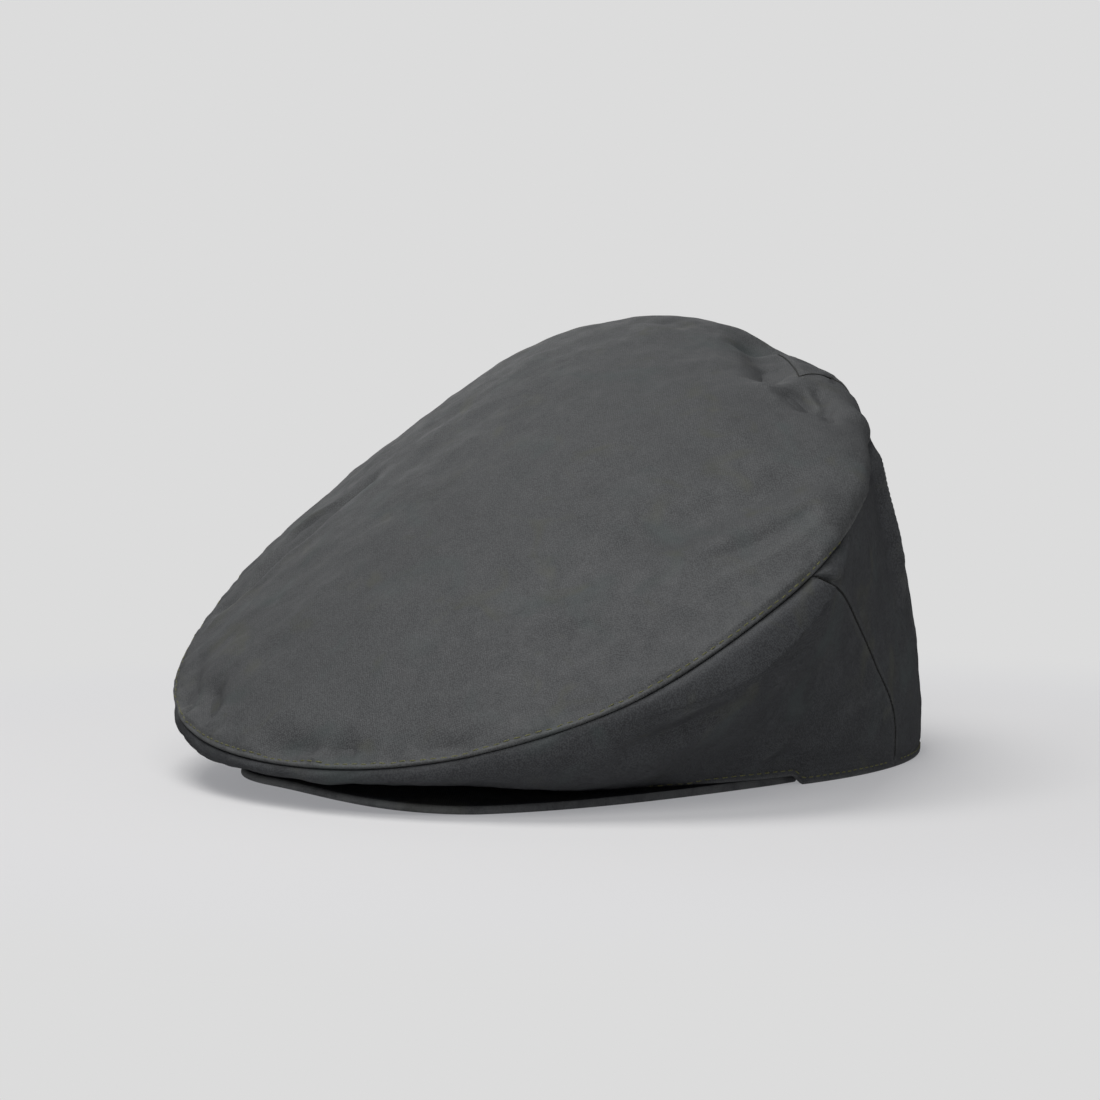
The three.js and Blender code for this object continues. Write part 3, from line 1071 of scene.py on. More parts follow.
@dataclass(frozen=True)
class WaxedCotton:
    """Waxed cotton: a fine plain weave under an uneven coat of wax.

    The factors say how much each layer counts in the tone; a patch is ramped from its range to a
    most, and thread_pitch is in millimetres.
    """

    name: str
    dark: Colour = (0.046, 0.047, 0.049, 1.0)
    light: Colour = (0.084, 0.087, 0.089, 1.0)
    teal: Colour = (0.057, 0.072, 0.071, 1.0)
    olive: Colour = (0.073, 0.075, 0.056, 1.0)
    # The lighter colour of rubbed wax, also used as a painted highlight along raised creases.
    rubbed: Colour = (0.150, 0.155, 0.152, 1.0)
    broad: Speckle = Speckle(34.0)
    blotch: Speckle = Speckle(150.0, 4.0, 0.62, 0.4)
    grain: Speckle = Speckle(2400.0, 1.0, 0.7)
    broad_factor: float = 0.25
    blotch_factor: float = 0.40
    grain_factor: float = 2.00
    weave_factor: float = 0.12
    tone_range: tuple[float, float] = (1.06, 1.62)
    teal_patch: Speckle = Speckle(48.0, 2.0, 0.5, 0.6)
    teal_range: tuple[float, float] = (0.54, 0.76)
    teal_most: float = 0.45
    olive_patch: Speckle = Speckle(62.0, 2.0, 0.5, 0.9)
    olive_range: tuple[float, float] = (0.58, 0.76)
    olive_most: float = 0.40
    wear_range: tuple[float, float] = (0.30, 0.62)
    wear_least: float = 0.35
    gloss_grain_factor: float = 0.3
    gloss_range: tuple[float, float] = (0.45, 0.90)
    roughness: tuple[float, float] = (0.56, 0.76)
    specular: float = 0.25
    blotch_relief: float = 0.00012
    thread_relief: float = 0.00005
    thread_strength: float = 0.8
    weave_relief_factor: float = 0.5
    thread_pitch: float = 0.45

    def make(self) -> bpy.types.Material:
        """Builds the material.

        Returns:
            The material, with its weave, wax and wear.
        """
        s = Shader(self.name)
        place = s.node("TexCoord").outputs["Object"]
        blotch, grain = s.noise(place, self.blotch), s.noise(place, self.grain)
        weave = self._weave(s)
        tone = s.total(
            (s.noise(place, self.broad), self.broad_factor), (blotch, self.blotch_factor),
            (grain, self.grain_factor), (weave, self.weave_factor),
        )
        cloth = self._patches(s, place, s.mix(s.ramp(tone, *self.tone_range), self.dark, self.light))
        # The wear attribute mixes in the rubbed colour: rubbed wax at edges, painted highlight along raised
        # creases.
        wear = s.node("Attribute", {"attribute_name": "wear"}).outputs["Fac"]
        worn_and_highlit = s.compute("MULTIPLY", wear, s.ramp(blotch, *self.wear_range, self.wear_least, 1.0))
        gloss = s.total((blotch, 1.0), (grain, self.gloss_grain_factor))
        threads = s.total((weave, self.weave_relief_factor), (grain, 1.0))
        lumps = s.bump(blotch, self.blotch_relief)
        surface = s.node(
            "BsdfPrincipled", Base_Color=s.mix(worn_and_highlit, cloth, self.rubbed),
            Roughness=s.ramp(gloss, *self.gloss_range, *self.roughness),
            Normal=s.bump(threads, self.thread_relief, self.thread_strength, lumps),
        )
        surface.inputs["Specular IOR Level"].default_value = self.specular
        return s.finish(surface.outputs["BSDF"])

    def _patches(self, s: Shader, place: bpy.types.NodeSocket,
                 cloth: bpy.types.NodeSocket) -> bpy.types.NodeSocket:
        """Tints the cloth in teal and olive patches.

        Args:
            s: the material's shader.
            place: the coordinates.
            cloth: the colour without the patches.

        Returns:
            The tinted colour.
        """
        teal = s.ramp(s.noise(place, self.teal_patch), *self.teal_range, 0.0, self.teal_most)
        olive = s.ramp(s.noise(place, self.olive_patch), *self.olive_range, 0.0, self.olive_most)
        return s.mix(olive, s.mix(teal, cloth, self.teal), self.olive)

    def _weave(self, s: Shader) -> bpy.types.NodeSocket:
        """Works out the height of a plain weave.

        Args:
            s: the material's shader.

        Returns:
            A height from -1 to 1.
        """
        flat = s.node("UVMap", {"uv_map": "cloth"}).outputs["UV"]
        axes = s.node("SeparateXYZ", Vector=flat)
        turn = math.pi / self.thread_pitch
        across = s.compute("COSINE", s.compute("MULTIPLY", axes.outputs["X"], turn))
        along = s.compute("COSINE", s.compute("MULTIPLY", axes.outputs["Y"], turn))
        return s.compute("MULTIPLY", across, along)


@dataclass(frozen=True)
class SewingThread:
    """Twisted cotton thread."""

    name: str
    dark: Colour
    light: Colour
    fibre: Speckle = Speckle(3200.0, 2.0)
    fibre_range: tuple[float, float] = (0.35, 0.65)
    fibre_relief: float = 0.00005
    roughness: float = 0.7

    def make(self) -> bpy.types.Material:
        """Builds the material.

        Returns:
            The material, with its fibres.
        """
        s = Shader(self.name)
        fibres = s.noise(s.node("TexCoord").outputs["Object"], self.fibre)
        colour = s.mix(s.ramp(fibres, *self.fibre_range), self.dark, self.light)
        surface = s.node(
            "BsdfPrincipled", Base_Color=colour, Normal=s.bump(fibres, self.fibre_relief),
        )
        surface.inputs["Roughness"].default_value = self.roughness
        return s.finish(surface.outputs["BSDF"])


@dataclass
class Panel:
    """What every cloth panel has: its cloth, its finish and its flat size in metres."""

    body: CapBody
    relief: Relief
    name: str
    node: str
    slot: str
    finish: WaxedCotton
    flat_size: tuple[float, float]
    flat_area: float
    rests_on: tuple[str, ...]
    seam_gap: float = 0.06
    calm_width: float = 3.0
    piece: bpy.types.Object | None = None

    def dress(self) -> None:
        """Gives the piece its finish."""
        self.piece.data.materials.append(self.finish.make())

    def declare(self) -> None:
        """Hands the finished piece to the frame."""
        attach(self.piece, ROOT)
        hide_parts(self.node)
        list(self.rests_on)

    def _calm(self, distance: np.ndarray) -> np.ndarray:
        """How much of the fine relief shows at a distance from an edge, from 0 to 1."""
        return smooth_share(0.0, self.calm_width, distance)

    def _faces_of_cloth(self, around: np.ndarray, level: np.ndarray, calm: np.ndarray,
                        edges: np.ndarray) -> tuple[np.ndarray, np.ndarray, np.ndarray]:
        """Lays both faces of the cloth on the body; the fine relief follows the smooth body.

        Args:
            around: angles of the grid.
            level: levels of the grid.
            calm: how much of the fine relief shows at each place.
            edges: the height that the seams and the hem add.

        Returns:
            The outer face, the inner face, and how far ridges are lightened as rubbed wax and painted
            highlight.
        """
        base = self.body.point(around, level)
        normal = self.body.normal(around, level)
        places = base.reshape(-1, 3)
        main = self.relief.main_height(places).reshape(level.shape)
        fine, rubbed = (values.reshape(level.shape) for values in self.relief.fine_relief(places))
        base = base + normal * main[..., None]
        outer = base + normal * (fine * calm + edges)[..., None]
        inner = base - normal * self.body.thickness(around)[..., None]
        return outer, inner, rubbed


@dataclass
class TopPanel(Panel):
    """The one-piece top, sewn all round to the wall panels."""

    columns: int = 576
    steps: int = 82
    samples: int = 240
    middle_gap: float = 0.04
    thin_below: float = 0.55
    relaxed_radius: float = 14.0
    relax_rounds: int = 30
    edge_rows: tuple[float, ...] = (0.0, 0.1, 0.25, 0.5, 0.8, 1.2, 1.7, 2.3, 3.0)
    edge: EdgeFinish = EdgeFinish(
        turn=0.85, welt=0.55, welt_width=5.0, stitch_line=1.6, stitch_pull=0.30, pucker=0.26, seed=11,
    )
    edge_wear: WearBand = WearBand(away=0.9, width=0.7, amount=0.3)

    def build(self) -> None:
        """Meshes the panel as rings that thin out towards the middle."""
        columns = np.arange(self.columns) * 360.0 / self.columns
        levels, distances, along = self._rings(columns)
        around = np.repeat(columns[:, None], levels.shape[1], 1)
        edges = self.edge.height(distances, np.repeat(along[:, None], levels.shape[1], 1))
        outer, inner, rubbed = self._faces_of_cloth(around, levels, self._calm(distances), edges)
        # The rubbed values lighten raised creases: rubbed wax and a painted highlight.
        wear = self.edge_wear.at(distances) + rubbed
        keep = self._thinning(self.body.point(around, levels))
        points, marks = [], []
        for side, values in ((outer, wear), (inner, np.zeros_like(wear))):
            points += [side[kept, row] for row, kept in enumerate(keep)]
            marks += [values[kept, row] for row, kept in enumerate(keep)]
            points.append(side[keep[-1], -1].mean(0, keepdims=True))
            marks.append(np.zeros(1))
        points = np.concatenate(points)
        down = unit(np.cross(self.body.crown_normal, (1.0, 0.0, 0.0)))
        flat = np.stack([points[:, 0], points @ down], -1)
        faces = self._closed([len(kept) for kept in keep])
        self.piece = link_piece(self.name, points, faces, flat, np.concatenate(marks))
        self._relax_middle()

    def _rings(self, around: np.ndarray) -> tuple[np.ndarray, np.ndarray, np.ndarray]:
        """Spaces the rings from the seam to the middle.

        Args:
            around: the angle of each column.

        Returns:
            The levels and the distances from the seam, with a row for each column, and each
            column's distance along the seam.
        """
        fine = np.linspace(SEAM_LEVEL, MIDDLE_LEVEL - self.middle_gap, self.samples)
        sections = self.body.point(around[:, None], fine[None, :])
        lengths = arc_lengths(sections, axis=1)
        half_gap = self.seam_gap / 2
        distances = rows_by_distance(lengths[:, -1] - half_gap, self.edge_rows, (0.0,), self.steps)
        levels = np.array([
            np.interp(row + half_gap, length, fine) for row, length in zip(distances, lengths)
        ])
        along = arc_lengths(np.concatenate([sections[:, 0], sections[:1, 0]]))[:-1]
        return levels, distances, along

    def _thinning(self, grid: np.ndarray) -> list[np.ndarray]:
        """Picks the columns that each ring keeps, so that the spacing stays even.

        Args:
            grid: the points of all rings, with a row for each column.

        Returns:
            The numbers of the columns kept in each ring.
        """
        rounds = np.linalg.norm(grid - np.roll(grid, 1, 0), axis=-1).sum(0)
        keep = []
        stride = 1
        for length in rounds:
            if length < self.thin_below * rounds[0] / stride and self.columns // stride % 2 == 0:
                stride *= 2
            keep.append(np.arange(0, self.columns, stride))
        return keep

    def _closed(self, counts: list[int]) -> list[tuple[int, ...]]:
        """Lists the faces of both sides, their middles and the edge between them.

        Args:
            counts: how many points each ring of a side has.

        Returns:
            The faces of a closed skin.
        """
        total = sum(counts) + 1
        faces = ring_faces(counts, 0)
        faces += [tuple(reversed(face)) for face in ring_faces(counts, total)]
        for first in (0, total):
            last_ring = first + total - 1 - counts[-1]
            for i in range(counts[-1]):
                faces.append((last_ring + i, last_ring + (i + 1) % counts[-1], first + total - 1))
        for i in range(counts[0]):
            j = (i + 1) % counts[0]
            faces.append((i, total + i, total + j, j))
        return faces

    def _relax_middle(self) -> None:
        """Smooths the small fan of faces in the middle of the top."""
        shape = bmesh.new()
        shape.from_mesh(self.piece.data)
        middle = Vector(((self.body.point(0.0, MIDDLE_LEVEL) + SHIFT) * MM).tolist())
        near = [v for v in shape.verts if (v.co - middle).length < self.relaxed_radius * MM]
        for _ in range(self.relax_rounds):
            bmesh.ops.smooth_vert(
                shape, verts=near, factor=0.5, use_axis_x=True, use_axis_y=True, use_axis_z=True,
            )
        shape.to_mesh(self.piece.data)
        shape.free()


class WallGrid(NamedTuple):
    """The places of a wall panel's grid, a row for each column of cloth.

    Attributes:
        around: angles in degrees.
        level: levels on the body.
        to_crown: millimetres to the crown seam.
        to_hem: millimetres to the hem.
        to_side: millimetres to the nearer side seam.
        along: millimetres along the panel.
    """

    around: np.ndarray
    level: np.ndarray
    to_crown: np.ndarray
    to_hem: np.ndarray
    to_side: np.ndarray
    along: np.ndarray


@dataclass(kw_only=True)
class WallPanel(Panel):
    """A wall panel from one seam to another, with a folded hem."""

    start: SeamLine
    end: SeamLine
    columns: int
    rows: int
    level_samples: int = 161
    column_samples: int = 241
    side_gap: float = 0.16
    side_reach: float = 30.0
    seam_rows: tuple[float, ...] = (0.0, 0.12, 0.3, 0.55, 0.85, 1.3, 1.9)
    hem_rows: tuple[float, ...] = (0.0, 0.5, 1.0, 1.5, 2.0, 2.4, 2.8, 3.3, 4.0)
    hem_fold_points: int = 7
    eased_rows: int = 5
    seam: EdgeFinish = EdgeFinish(turn=0.95, welt=-0.25, welt_width=3.0, pucker=0.12, seed=21)
    side_seam: EdgeFinish = EdgeFinish(turn=0.75, welt=0.25, welt_width=3.5, pucker=0.10, seed=31)
    hem: EdgeFinish = EdgeFinish(
        turn=0.0001, welt=0.25, welt_width=2.0, stitch_line=2.6, stitch_pull=0.35, pucker=0.10,
        seed=41,
    )
    seam_wear: WearBand = WearBand(away=1.2, width=0.7, amount=0.1)
    side_wear: WearBand = WearBand(away=1.4, width=0.8, amount=0.12)
    hem_wear: WearBand = WearBand(away=0.0, width=1.0, amount=0.20)
    fold_wear: float = 0.3

    def build(self) -> None:
        """Meshes the panel column by column, each a loop down the outside and up the inside."""
        grid = self._grid()
        calm = self._calm(grid.to_crown) * self._calm(grid.to_side) * self._calm(grid.to_hem)
        edges = self.seam.height(grid.to_crown, grid.along)
        edges = edges + self.hem.height(grid.to_hem, grid.along)
        to_side = np.minimum(grid.to_side, self.side_reach)
        edges = edges + self.side_seam.height(to_side, grid.to_hem)
        outer, inner, rubbed = self._faces_of_cloth(grid.around, grid.level, calm, edges)
        fold = self._hem_fold(grid.around[:, 0], outer, inner)
        loop = np.concatenate([outer[:, ::-1], fold, inner], 1)
        wear = self.seam_wear.at(grid.to_crown) + self.side_wear.at(grid.to_side)
        # The rubbed values lighten raised creases: rubbed wax and a painted highlight.
        wear = wear + self.hem_wear.at(grid.to_hem) + rubbed
        on_fold = np.full(fold.shape[:2], self.fold_wear)
        marks = np.concatenate([wear[:, ::-1], on_fold, np.zeros_like(wear)], 1)
        flat = np.stack([grid.along, grid.to_hem], -1)
        flat_fold = np.repeat(flat[:, :1], self.hem_fold_points, 1)
        flat = np.concatenate([flat[:, ::-1], flat_fold, flat], 1)
        self.piece = link_piece(
            self.name, loop.reshape(-1, 3), loop_faces(*loop.shape[:2]), flat.reshape(-1, 2),
            marks.ravel(),
        )

    def _grid(self) -> WallGrid:
        """Lays out the grid; its columns lean with the side seams.

        Returns:
            The grid's places and their distances to the panel's edges.
        """
        fine_levels = np.linspace(HEM_LEVEL, SEAM_LEVEL, self.level_samples)
        share = np.linspace(0.0, 1.0, self.column_samples)
        start, end = self.start(fine_levels), self.end(fine_levels)
        spread = start[:, None] + (end - start)[:, None] * share[None, :]
        across = arc_lengths(self.body.point(spread, fine_levels[:, None]), axis=1)
        widths = across[:, -1] - self.side_gap
        steps = rows_by_distance(widths, self.seam_rows, self.seam_rows, self.columns)
        columns = np.array([
            np.interp(row + self.side_gap / 2, length, places)
            for row, length, places in zip(steps, across, spread)
        ])
        rows = []
        for i in range(columns.shape[1]):
            length = arc_lengths(self.body.point(columns[:, i], fine_levels))
            to_hem = rows_by_distance(
                length[-1:] - self.seam_gap / 2, self.hem_rows, self.seam_rows, self.rows,
            )[0]
            level = np.interp(to_hem, length, fine_levels)
            around = np.interp(level, fine_levels, columns[:, i])
            along = np.interp(level, fine_levels, steps[:, i])
            width = np.interp(level, fine_levels, widths)
            to_side = np.minimum(along, width - along)
            rows.append((around, level, to_hem[-1] - to_hem, to_hem, to_side, along))
        return WallGrid(*(np.array(values) for values in zip(*rows)))

    def _hem_fold(self, around: np.ndarray, outer: np.ndarray, inner: np.ndarray) -> np.ndarray:
        """Seats both faces on the hem's fold and gives the fold's own points.

        Args:
            around: the angle of each column at the hem.
            outer: the outer face, whose lowest rows are moved to the fold.
            inner: the inner face, whose lowest rows are moved to the fold.

        Returns:
            The points of the half-round fold from the outside to the inside.
        """
        radius = self.body.wall / 2.0
        out = outward(around) * radius
        lowest = self.body.hem_height(around)
        centre = on_plane(around, self.body.hem_radius(around) - radius, lowest + radius)
        self._ease(outer, centre + out)
        self._ease(inner, centre - out)
        return half_round(centre, out, np.array([0.0, 0.0, -radius]), self.hem_fold_points)

    def _ease(self, face: np.ndarray, hem: np.ndarray) -> None:
        """Moves a face's hem row to its place, and the rows above it ever less.

        Args:
            face: the face's points, changed in place.
            hem: where the hem row goes.
        """
        move = hem - face[:, 0]
        for row in range(self.eased_rows):
            face[:, row] += move * (1.0 - row / self.eased_rows) ** 2


@dataclass
class Peak:
    """The stiff peak: a board covered in cloth, with a rounded rim, in millimetres."""

    body: CapBody
    finish: WaxedCotton
    name: str = "peak_cloth"
    half_width: float = 76.0
    front: float = -138.0
    ends: float = -2.0
    squareness_left: float = 3.2
    squareness_right: float = 1.8
    under_hem: float = 9.0
    columns: int = 300
    rows: int = 30
    row_crowding: float = 0.8
    rim_points: int = 9
    rim_inset_power: float = 6.0
    rim_wear: float = 0.45
    calm_share: float = 0.2
    crumple: Crumple = Crumple(seed=71, shortest=12.0, longest=30.0, height=0.10)
    piece: bpy.types.Object | None = None

    def plan(self, turn: np.ndarray, share: np.ndarray) -> np.ndarray:
        """Works out the peak's plan.

        Args:
            turn: from a quarter turn to the right of the front to a quarter turn to its left.
            share: 0 at the edge under the hem and 1 at the rim.

        Returns:
            Points with a last axis of x and y.
        """
        power = 2.0 / np.where(turn > 0.0, self.squareness_left, self.squareness_right)
        rim_x = self.half_width * np.sign(turn) * np.abs(np.sin(turn)) ** power
        rim_y = self.ends + (self.front - self.ends) * np.maximum(np.cos(turn), 0.0) ** power
        half_width = self.body.hem_half_width - self.under_hem
        half_length = self.body.hem_half_length - self.under_hem
        back = turn / (math.pi / 2) * math.acos(-self.ends / half_length)
        x = half_width * np.sin(back)
        y = -half_length * np.cos(back)
        return np.stack([x + (rim_x - x) * share, y + (rim_y - y) * share], -1)

    def build(self) -> None:
        """Meshes the peak column by column, each a loop over the top, the rim and the underside."""
        radius = self.body.peak_thickness / 2.0
        turn = np.linspace(-math.pi / 2, math.pi / 2, self.columns)
        share = np.linspace(0.0, 1.0, self.rows) ** self.row_crowding
        turn, share = np.meshgrid(turn, share, indexing="ij")
        plan = self.plan(turn, share)
        out = unit(plan[:, -1] - plan[:, -2])
        plan = plan - out[:, None] * radius * (share**self.rim_inset_power)[..., None]
        low = self.body.peak_height(plan[..., 0])
        under = np.concatenate([plan, low[..., None]], -1)
        up = np.array([0.0, 0.0, radius])
        top = under + 2.0 * up
        top[..., 2] += self.crumple.at(under) * smooth_share(0.0, self.calm_share, 1.0 - share)
        side = np.concatenate([out, np.zeros((len(out), 1))], -1) * radius
        rim = half_round(under[:, -1] + up, up, side, self.rim_points)
        loop = np.concatenate([top, rim, under[:, ::-1]], 1)
        plain = np.zeros(share.shape)
        wear = np.concatenate([plain, np.full(rim.shape[:2], self.rim_wear), plain], 1)
        points = loop.reshape(-1, 3)
        self.piece = link_piece(
            self.name, points, loop_faces(*loop.shape[:2]), points[:, :2], wear.ravel(),
        )

    def dress(self) -> None:
        """Gives the peak its finish."""
        self.piece.data.materials.append(self.finish.make())

    def declare(self) -> None:
        """Hands the finished piece to the frame."""
        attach(self.piece, ROOT)
        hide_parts("peak")


class StitchRing(NamedTuple):
    """One ring of a stitch: its place along it, its girth, and its lift off the cloth.

    The place is a share of the stitch's length; girth and lift are shares of the thread's radius.
    """

    place: float
    girth: float
    lift: float


STITCH_RINGS = tuple(StitchRing(*row) for row in (
    (-0.5, 0.35, -0.8),
    (-0.42, 0.85, -0.15),
    (-0.2, 1.0, 0.35),
    (0.2, 1.0, 0.35),
    (0.42, 0.85, -0.15),
    (0.5, 0.35, -0.8),
))


@dataclass(frozen=True)
class Stitch:
    """One kind of stitch, in millimetres."""

    thread: SewingThread
    pitch: float = 3.0
    length: float = 2.0
    radius: float = 0.18
    sink: float = 0.02
    look_ahead: float = 0.8
    sides: int = 6

    def points(self, spot: np.ndarray, out: np.ndarray, along: np.ndarray) -> np.ndarray:
        """Shapes one stitch: a bowed, round-ended thread.

        Args:
            spot: the stitch's middle on the cloth.
            out: the way out of the cloth.
            along: the way along the row.

        Returns:
            The stitch's points, ring by ring.
        """
        side = np.cross(out, along)
        points = []
        for ring in STITCH_RINGS:
            lift = ring.lift * self.radius - self.sink
            centre = spot + along * (ring.place * self.length) + out * lift
            for k in range(self.sides):
                turn = 2.0 * math.pi * k / self.sides
                around = side * math.cos(turn) + out * math.sin(turn)
                points.append(centre + around * (ring.girth * self.radius))
        return np.array(points)

    def faces(self) -> list[tuple[int, ...]]:
        """Lists the faces of one stitch.

        Returns:
            The faces round it and at its two ends.
        """
        starts = [ring * self.sides for ring in range(len(STITCH_RINGS))]
        faces = []
        for low, high in zip(starts, starts[1:]):
            faces += band_faces(low, high, self.sides)
        faces += [tuple(start + k for k in range(self.sides)) for start in (starts[0], starts[-1])]
        return faces


@dataclass
class StitchRow:
    """A row of stitches along a path on a finished piece of cloth."""

    name: str
    stitch: Stitch
    cloth: bpy.types.Object
    slot: str
    path: np.ndarray
    piece: bpy.types.Object | None = None

    def build(self) -> None:
        """Lays a stitch at each pitch along the path."""
        stitch = self.stitch
        length = arc_lengths(self.path)
        places = np.arange(stitch.pitch, length[-1] - stitch.pitch / 2, stitch.pitch)
        middles, ahead = (
            np.stack([np.interp(spots, length, self.path[:, k]) for k in range(3)], -1)
            for spots in (places, places + stitch.look_ahead)
        )
        tree = BVHTree.FromObject(self.cloth, bpy.context.evaluated_depsgraph_get())
        points, faces = [], []
        for middle, front in zip(middles, ahead):
            spot, normal, _, _ = tree.find_nearest(Vector(((middle + SHIFT) * MM).tolist()))
            out = np.array(normal)
            along = front - middle
            along = unit(along - out * (along @ out))
            made = stitch.points(np.array(spot) / MM - SHIFT, out, along)
            start = len(points) * len(made)
            points.append(made)
            faces += [tuple(start + corner for corner in face) for face in stitch.faces()]
        points = np.concatenate(points)
        self.piece = link_piece(self.name, points, faces, points[:, :2])

    def dress(self) -> None:
        """Gives the stitches their finish."""
        self.piece.data.materials.append(self.stitch.thread.make())

    def declare(self) -> None:
        """Hands the finished piece to the frame."""
        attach(self.piece, ROOT)


class Lamp(NamedTuple):
    """A soft rectangular light: its place, what it faces, its width and height, and its watts."""

    name: str
    place: Place
    aim: Place
    size: tuple[float, float]
    power: float


@dataclass
class Studio:
    """A pale floor that rises into a low bowl, soft lights and the camera, in metres."""

    floor_rings: tuple[float, ...] = (0.05, 0.3, 0.6, 1.0, 1.6, 2.6)
    floor_sides: int = 96
    bowl_radius: float = 3.4
    bowl_height: float = 0.8
    bowl_rings: int = 16
    plain_radius: float = 0.17
    glow_radius: float = 0.36
    pale: Colour = (0.785, 0.775, 0.762, 1.0)
    glow: Colour = (0.716, 0.716, 0.716, 1.0)
    # The bluish glow mixed into the paper near the cap, and its share: painted light that lifts the cap's
    # shadow and tints it blue-violet.
    shadow_fill_tint: Colour = (0.700, 0.705, 0.738, 1.0)
    shadow_fill_share: float = 0.38
    room: Colour = (0.95, 0.97, 1.0, 1.0)
    room_strength: float = 0.08
    lamps: tuple[Lamp, ...] = (
        Lamp("softbox", (-0.34, -0.22, 1.45), (0.0, 0.0, 0.05), (1.0, 0.9), 14.0),
        Lamp("fill", (0.62, -0.62, 0.95), (0.0, 0.0, 0.05), (0.8, 0.7), 5.6),
        Lamp("rim_light", (-0.95, 0.60, 0.50), (0.0, 0.02, 0.08), (0.9, 0.5), 1.7),
    )
    camera_azimuth: float = 46.0
    camera_elevation: float = 4.62
    camera_distance: float = 1.2
    camera_target: Place = (-0.0001, 0.0207, 0.060)
    lens: float = 129.05
    sensor: float = 36.0
    shift_x: float = -0.0638
    shift_y: float = 0.0106

    def build(self) -> None:
        """Makes the stage, the lights and the camera."""
        self._floor()
        self._world()
        for lamp in self.lamps:
            self._light(lamp)
        self._camera()

    def _floor(self) -> None:
        """Makes a disc that turns up smoothly at its rim, the same from every side."""
        profile = [(radius, 0.0) for radius in self.floor_rings]
        flat = self.floor_rings[-1]
        for step in range(1, self.bowl_rings + 1):
            share = step / self.bowl_rings
            profile.append((flat + (self.bowl_radius - flat) * share, self.bowl_height * share**2))
        turns = [2.0 * math.pi * k / self.floor_sides for k in range(self.floor_sides)]
        points = [(0.0, 0.0, 0.0)]
        for radius, height in profile:
            points += [(radius * math.cos(turn), radius * math.sin(turn), height) for turn in turns]
        faces = []
        for ring in range(len(profile)):
            first = 1 + ring * self.floor_sides
            below = first - self.floor_sides
            for k in range(self.floor_sides):
                j = (k + 1) % self.floor_sides
                if ring == 0:
                    faces.append((0, first + k, first + j))
                else:
                    faces.append((below + k, first + k, first + j, below + j))
        mesh = bpy.data.meshes.new("floor")
        mesh.from_pydata(points, [], faces)
        mesh.shade_smooth()
        mesh.materials.append(self._floor_finish())
        floor = bpy.data.objects.new("floor", mesh)
        floor.visible_glossy = False
        bpy.context.scene.collection.objects.link(floor)

    def _floor_finish(self) -> bpy.types.Material:
        """Builds pale paper near the cap that turns into an even glow further out; near the cap part of the
        paper glows too, in a bluish tint, as painted light that lifts and tints the cap's shadow.

        Returns:
            The floor's material.
        """
        s = Shader("pale_paper")
        away = s.node("VectorMath", {"operation": "LENGTH"})
        s.feed(away.inputs[0], s.node("TexCoord").outputs["Object"])
        distance = away.outputs["Value"]
        radii = (self.plain_radius, self.glow_radius)
        paper = s.node("BsdfDiffuse", Color=self.pale)
        tint = s.mix(s.ramp(distance, *radii), self.shadow_fill_tint, self.glow)
        light = s.node("Emission", Color=tint, Strength=1.0)
        both = s.node("MixShader")
        # Near the cap part of the floor glows: painted light in the cap's shadow.
        s.feed(both.inputs[0], s.ramp(distance, *radii, self.shadow_fill_share, 1.0))
        s.feed(both.inputs[1], paper.outputs[0])
        s.feed(both.inputs[2], light.outputs[0])
        return s.finish(both.outputs[0])

    def _world(self) -> None:
        """Makes a dim, even grey room."""
        world = bpy.data.worlds.new("studio")
        world.use_nodes = True
        background = world.node_tree.nodes["Background"]
        background.inputs["Color"].default_value = self.room
        background.inputs["Strength"].default_value = self.room_strength
        bpy.context.scene.world = world

    def _light(self, lamp: Lamp) -> None:
        """Hangs one light.

        Args:
            lamp: the light's place and sizes.
        """
        data = bpy.data.lights.new(lamp.name, "AREA")
        data.shape = "RECTANGLE"
        data.size, data.size_y = lamp.size
        data.energy = lamp.power
        light = bpy.data.objects.new(lamp.name, data)
        light.location = lamp.place
        ahead = Vector(lamp.aim) - Vector(lamp.place)
        light.rotation_euler = ahead.to_track_quat("-Z", "Y").to_euler()
        bpy.context.scene.collection.objects.link(light)

    def _camera(self) -> None:
        """Sets up the camera, level with the cap and a little above it."""
        azimuth, elevation = math.radians(self.camera_azimuth), math.radians(self.camera_elevation)
        back = Vector((
            math.sin(azimuth) * math.cos(elevation),
            -math.cos(azimuth) * math.cos(elevation),
            math.sin(elevation),
        ))
        data = bpy.data.cameras.new("camera")
        data.lens = self.lens
        data.sensor_width = self.sensor
        data.shift_x, data.shift_y = self.shift_x, self.shift_y
        camera = bpy.data.objects.new("camera", data)
        camera.location = Vector(self.camera_target) + back * self.camera_distance
        camera.rotation_euler = (-back).to_track_quat("-Z", "Y").to_euler()
        bpy.context.scene.collection.objects.link(camera)
        bpy.context.scene.camera = camera


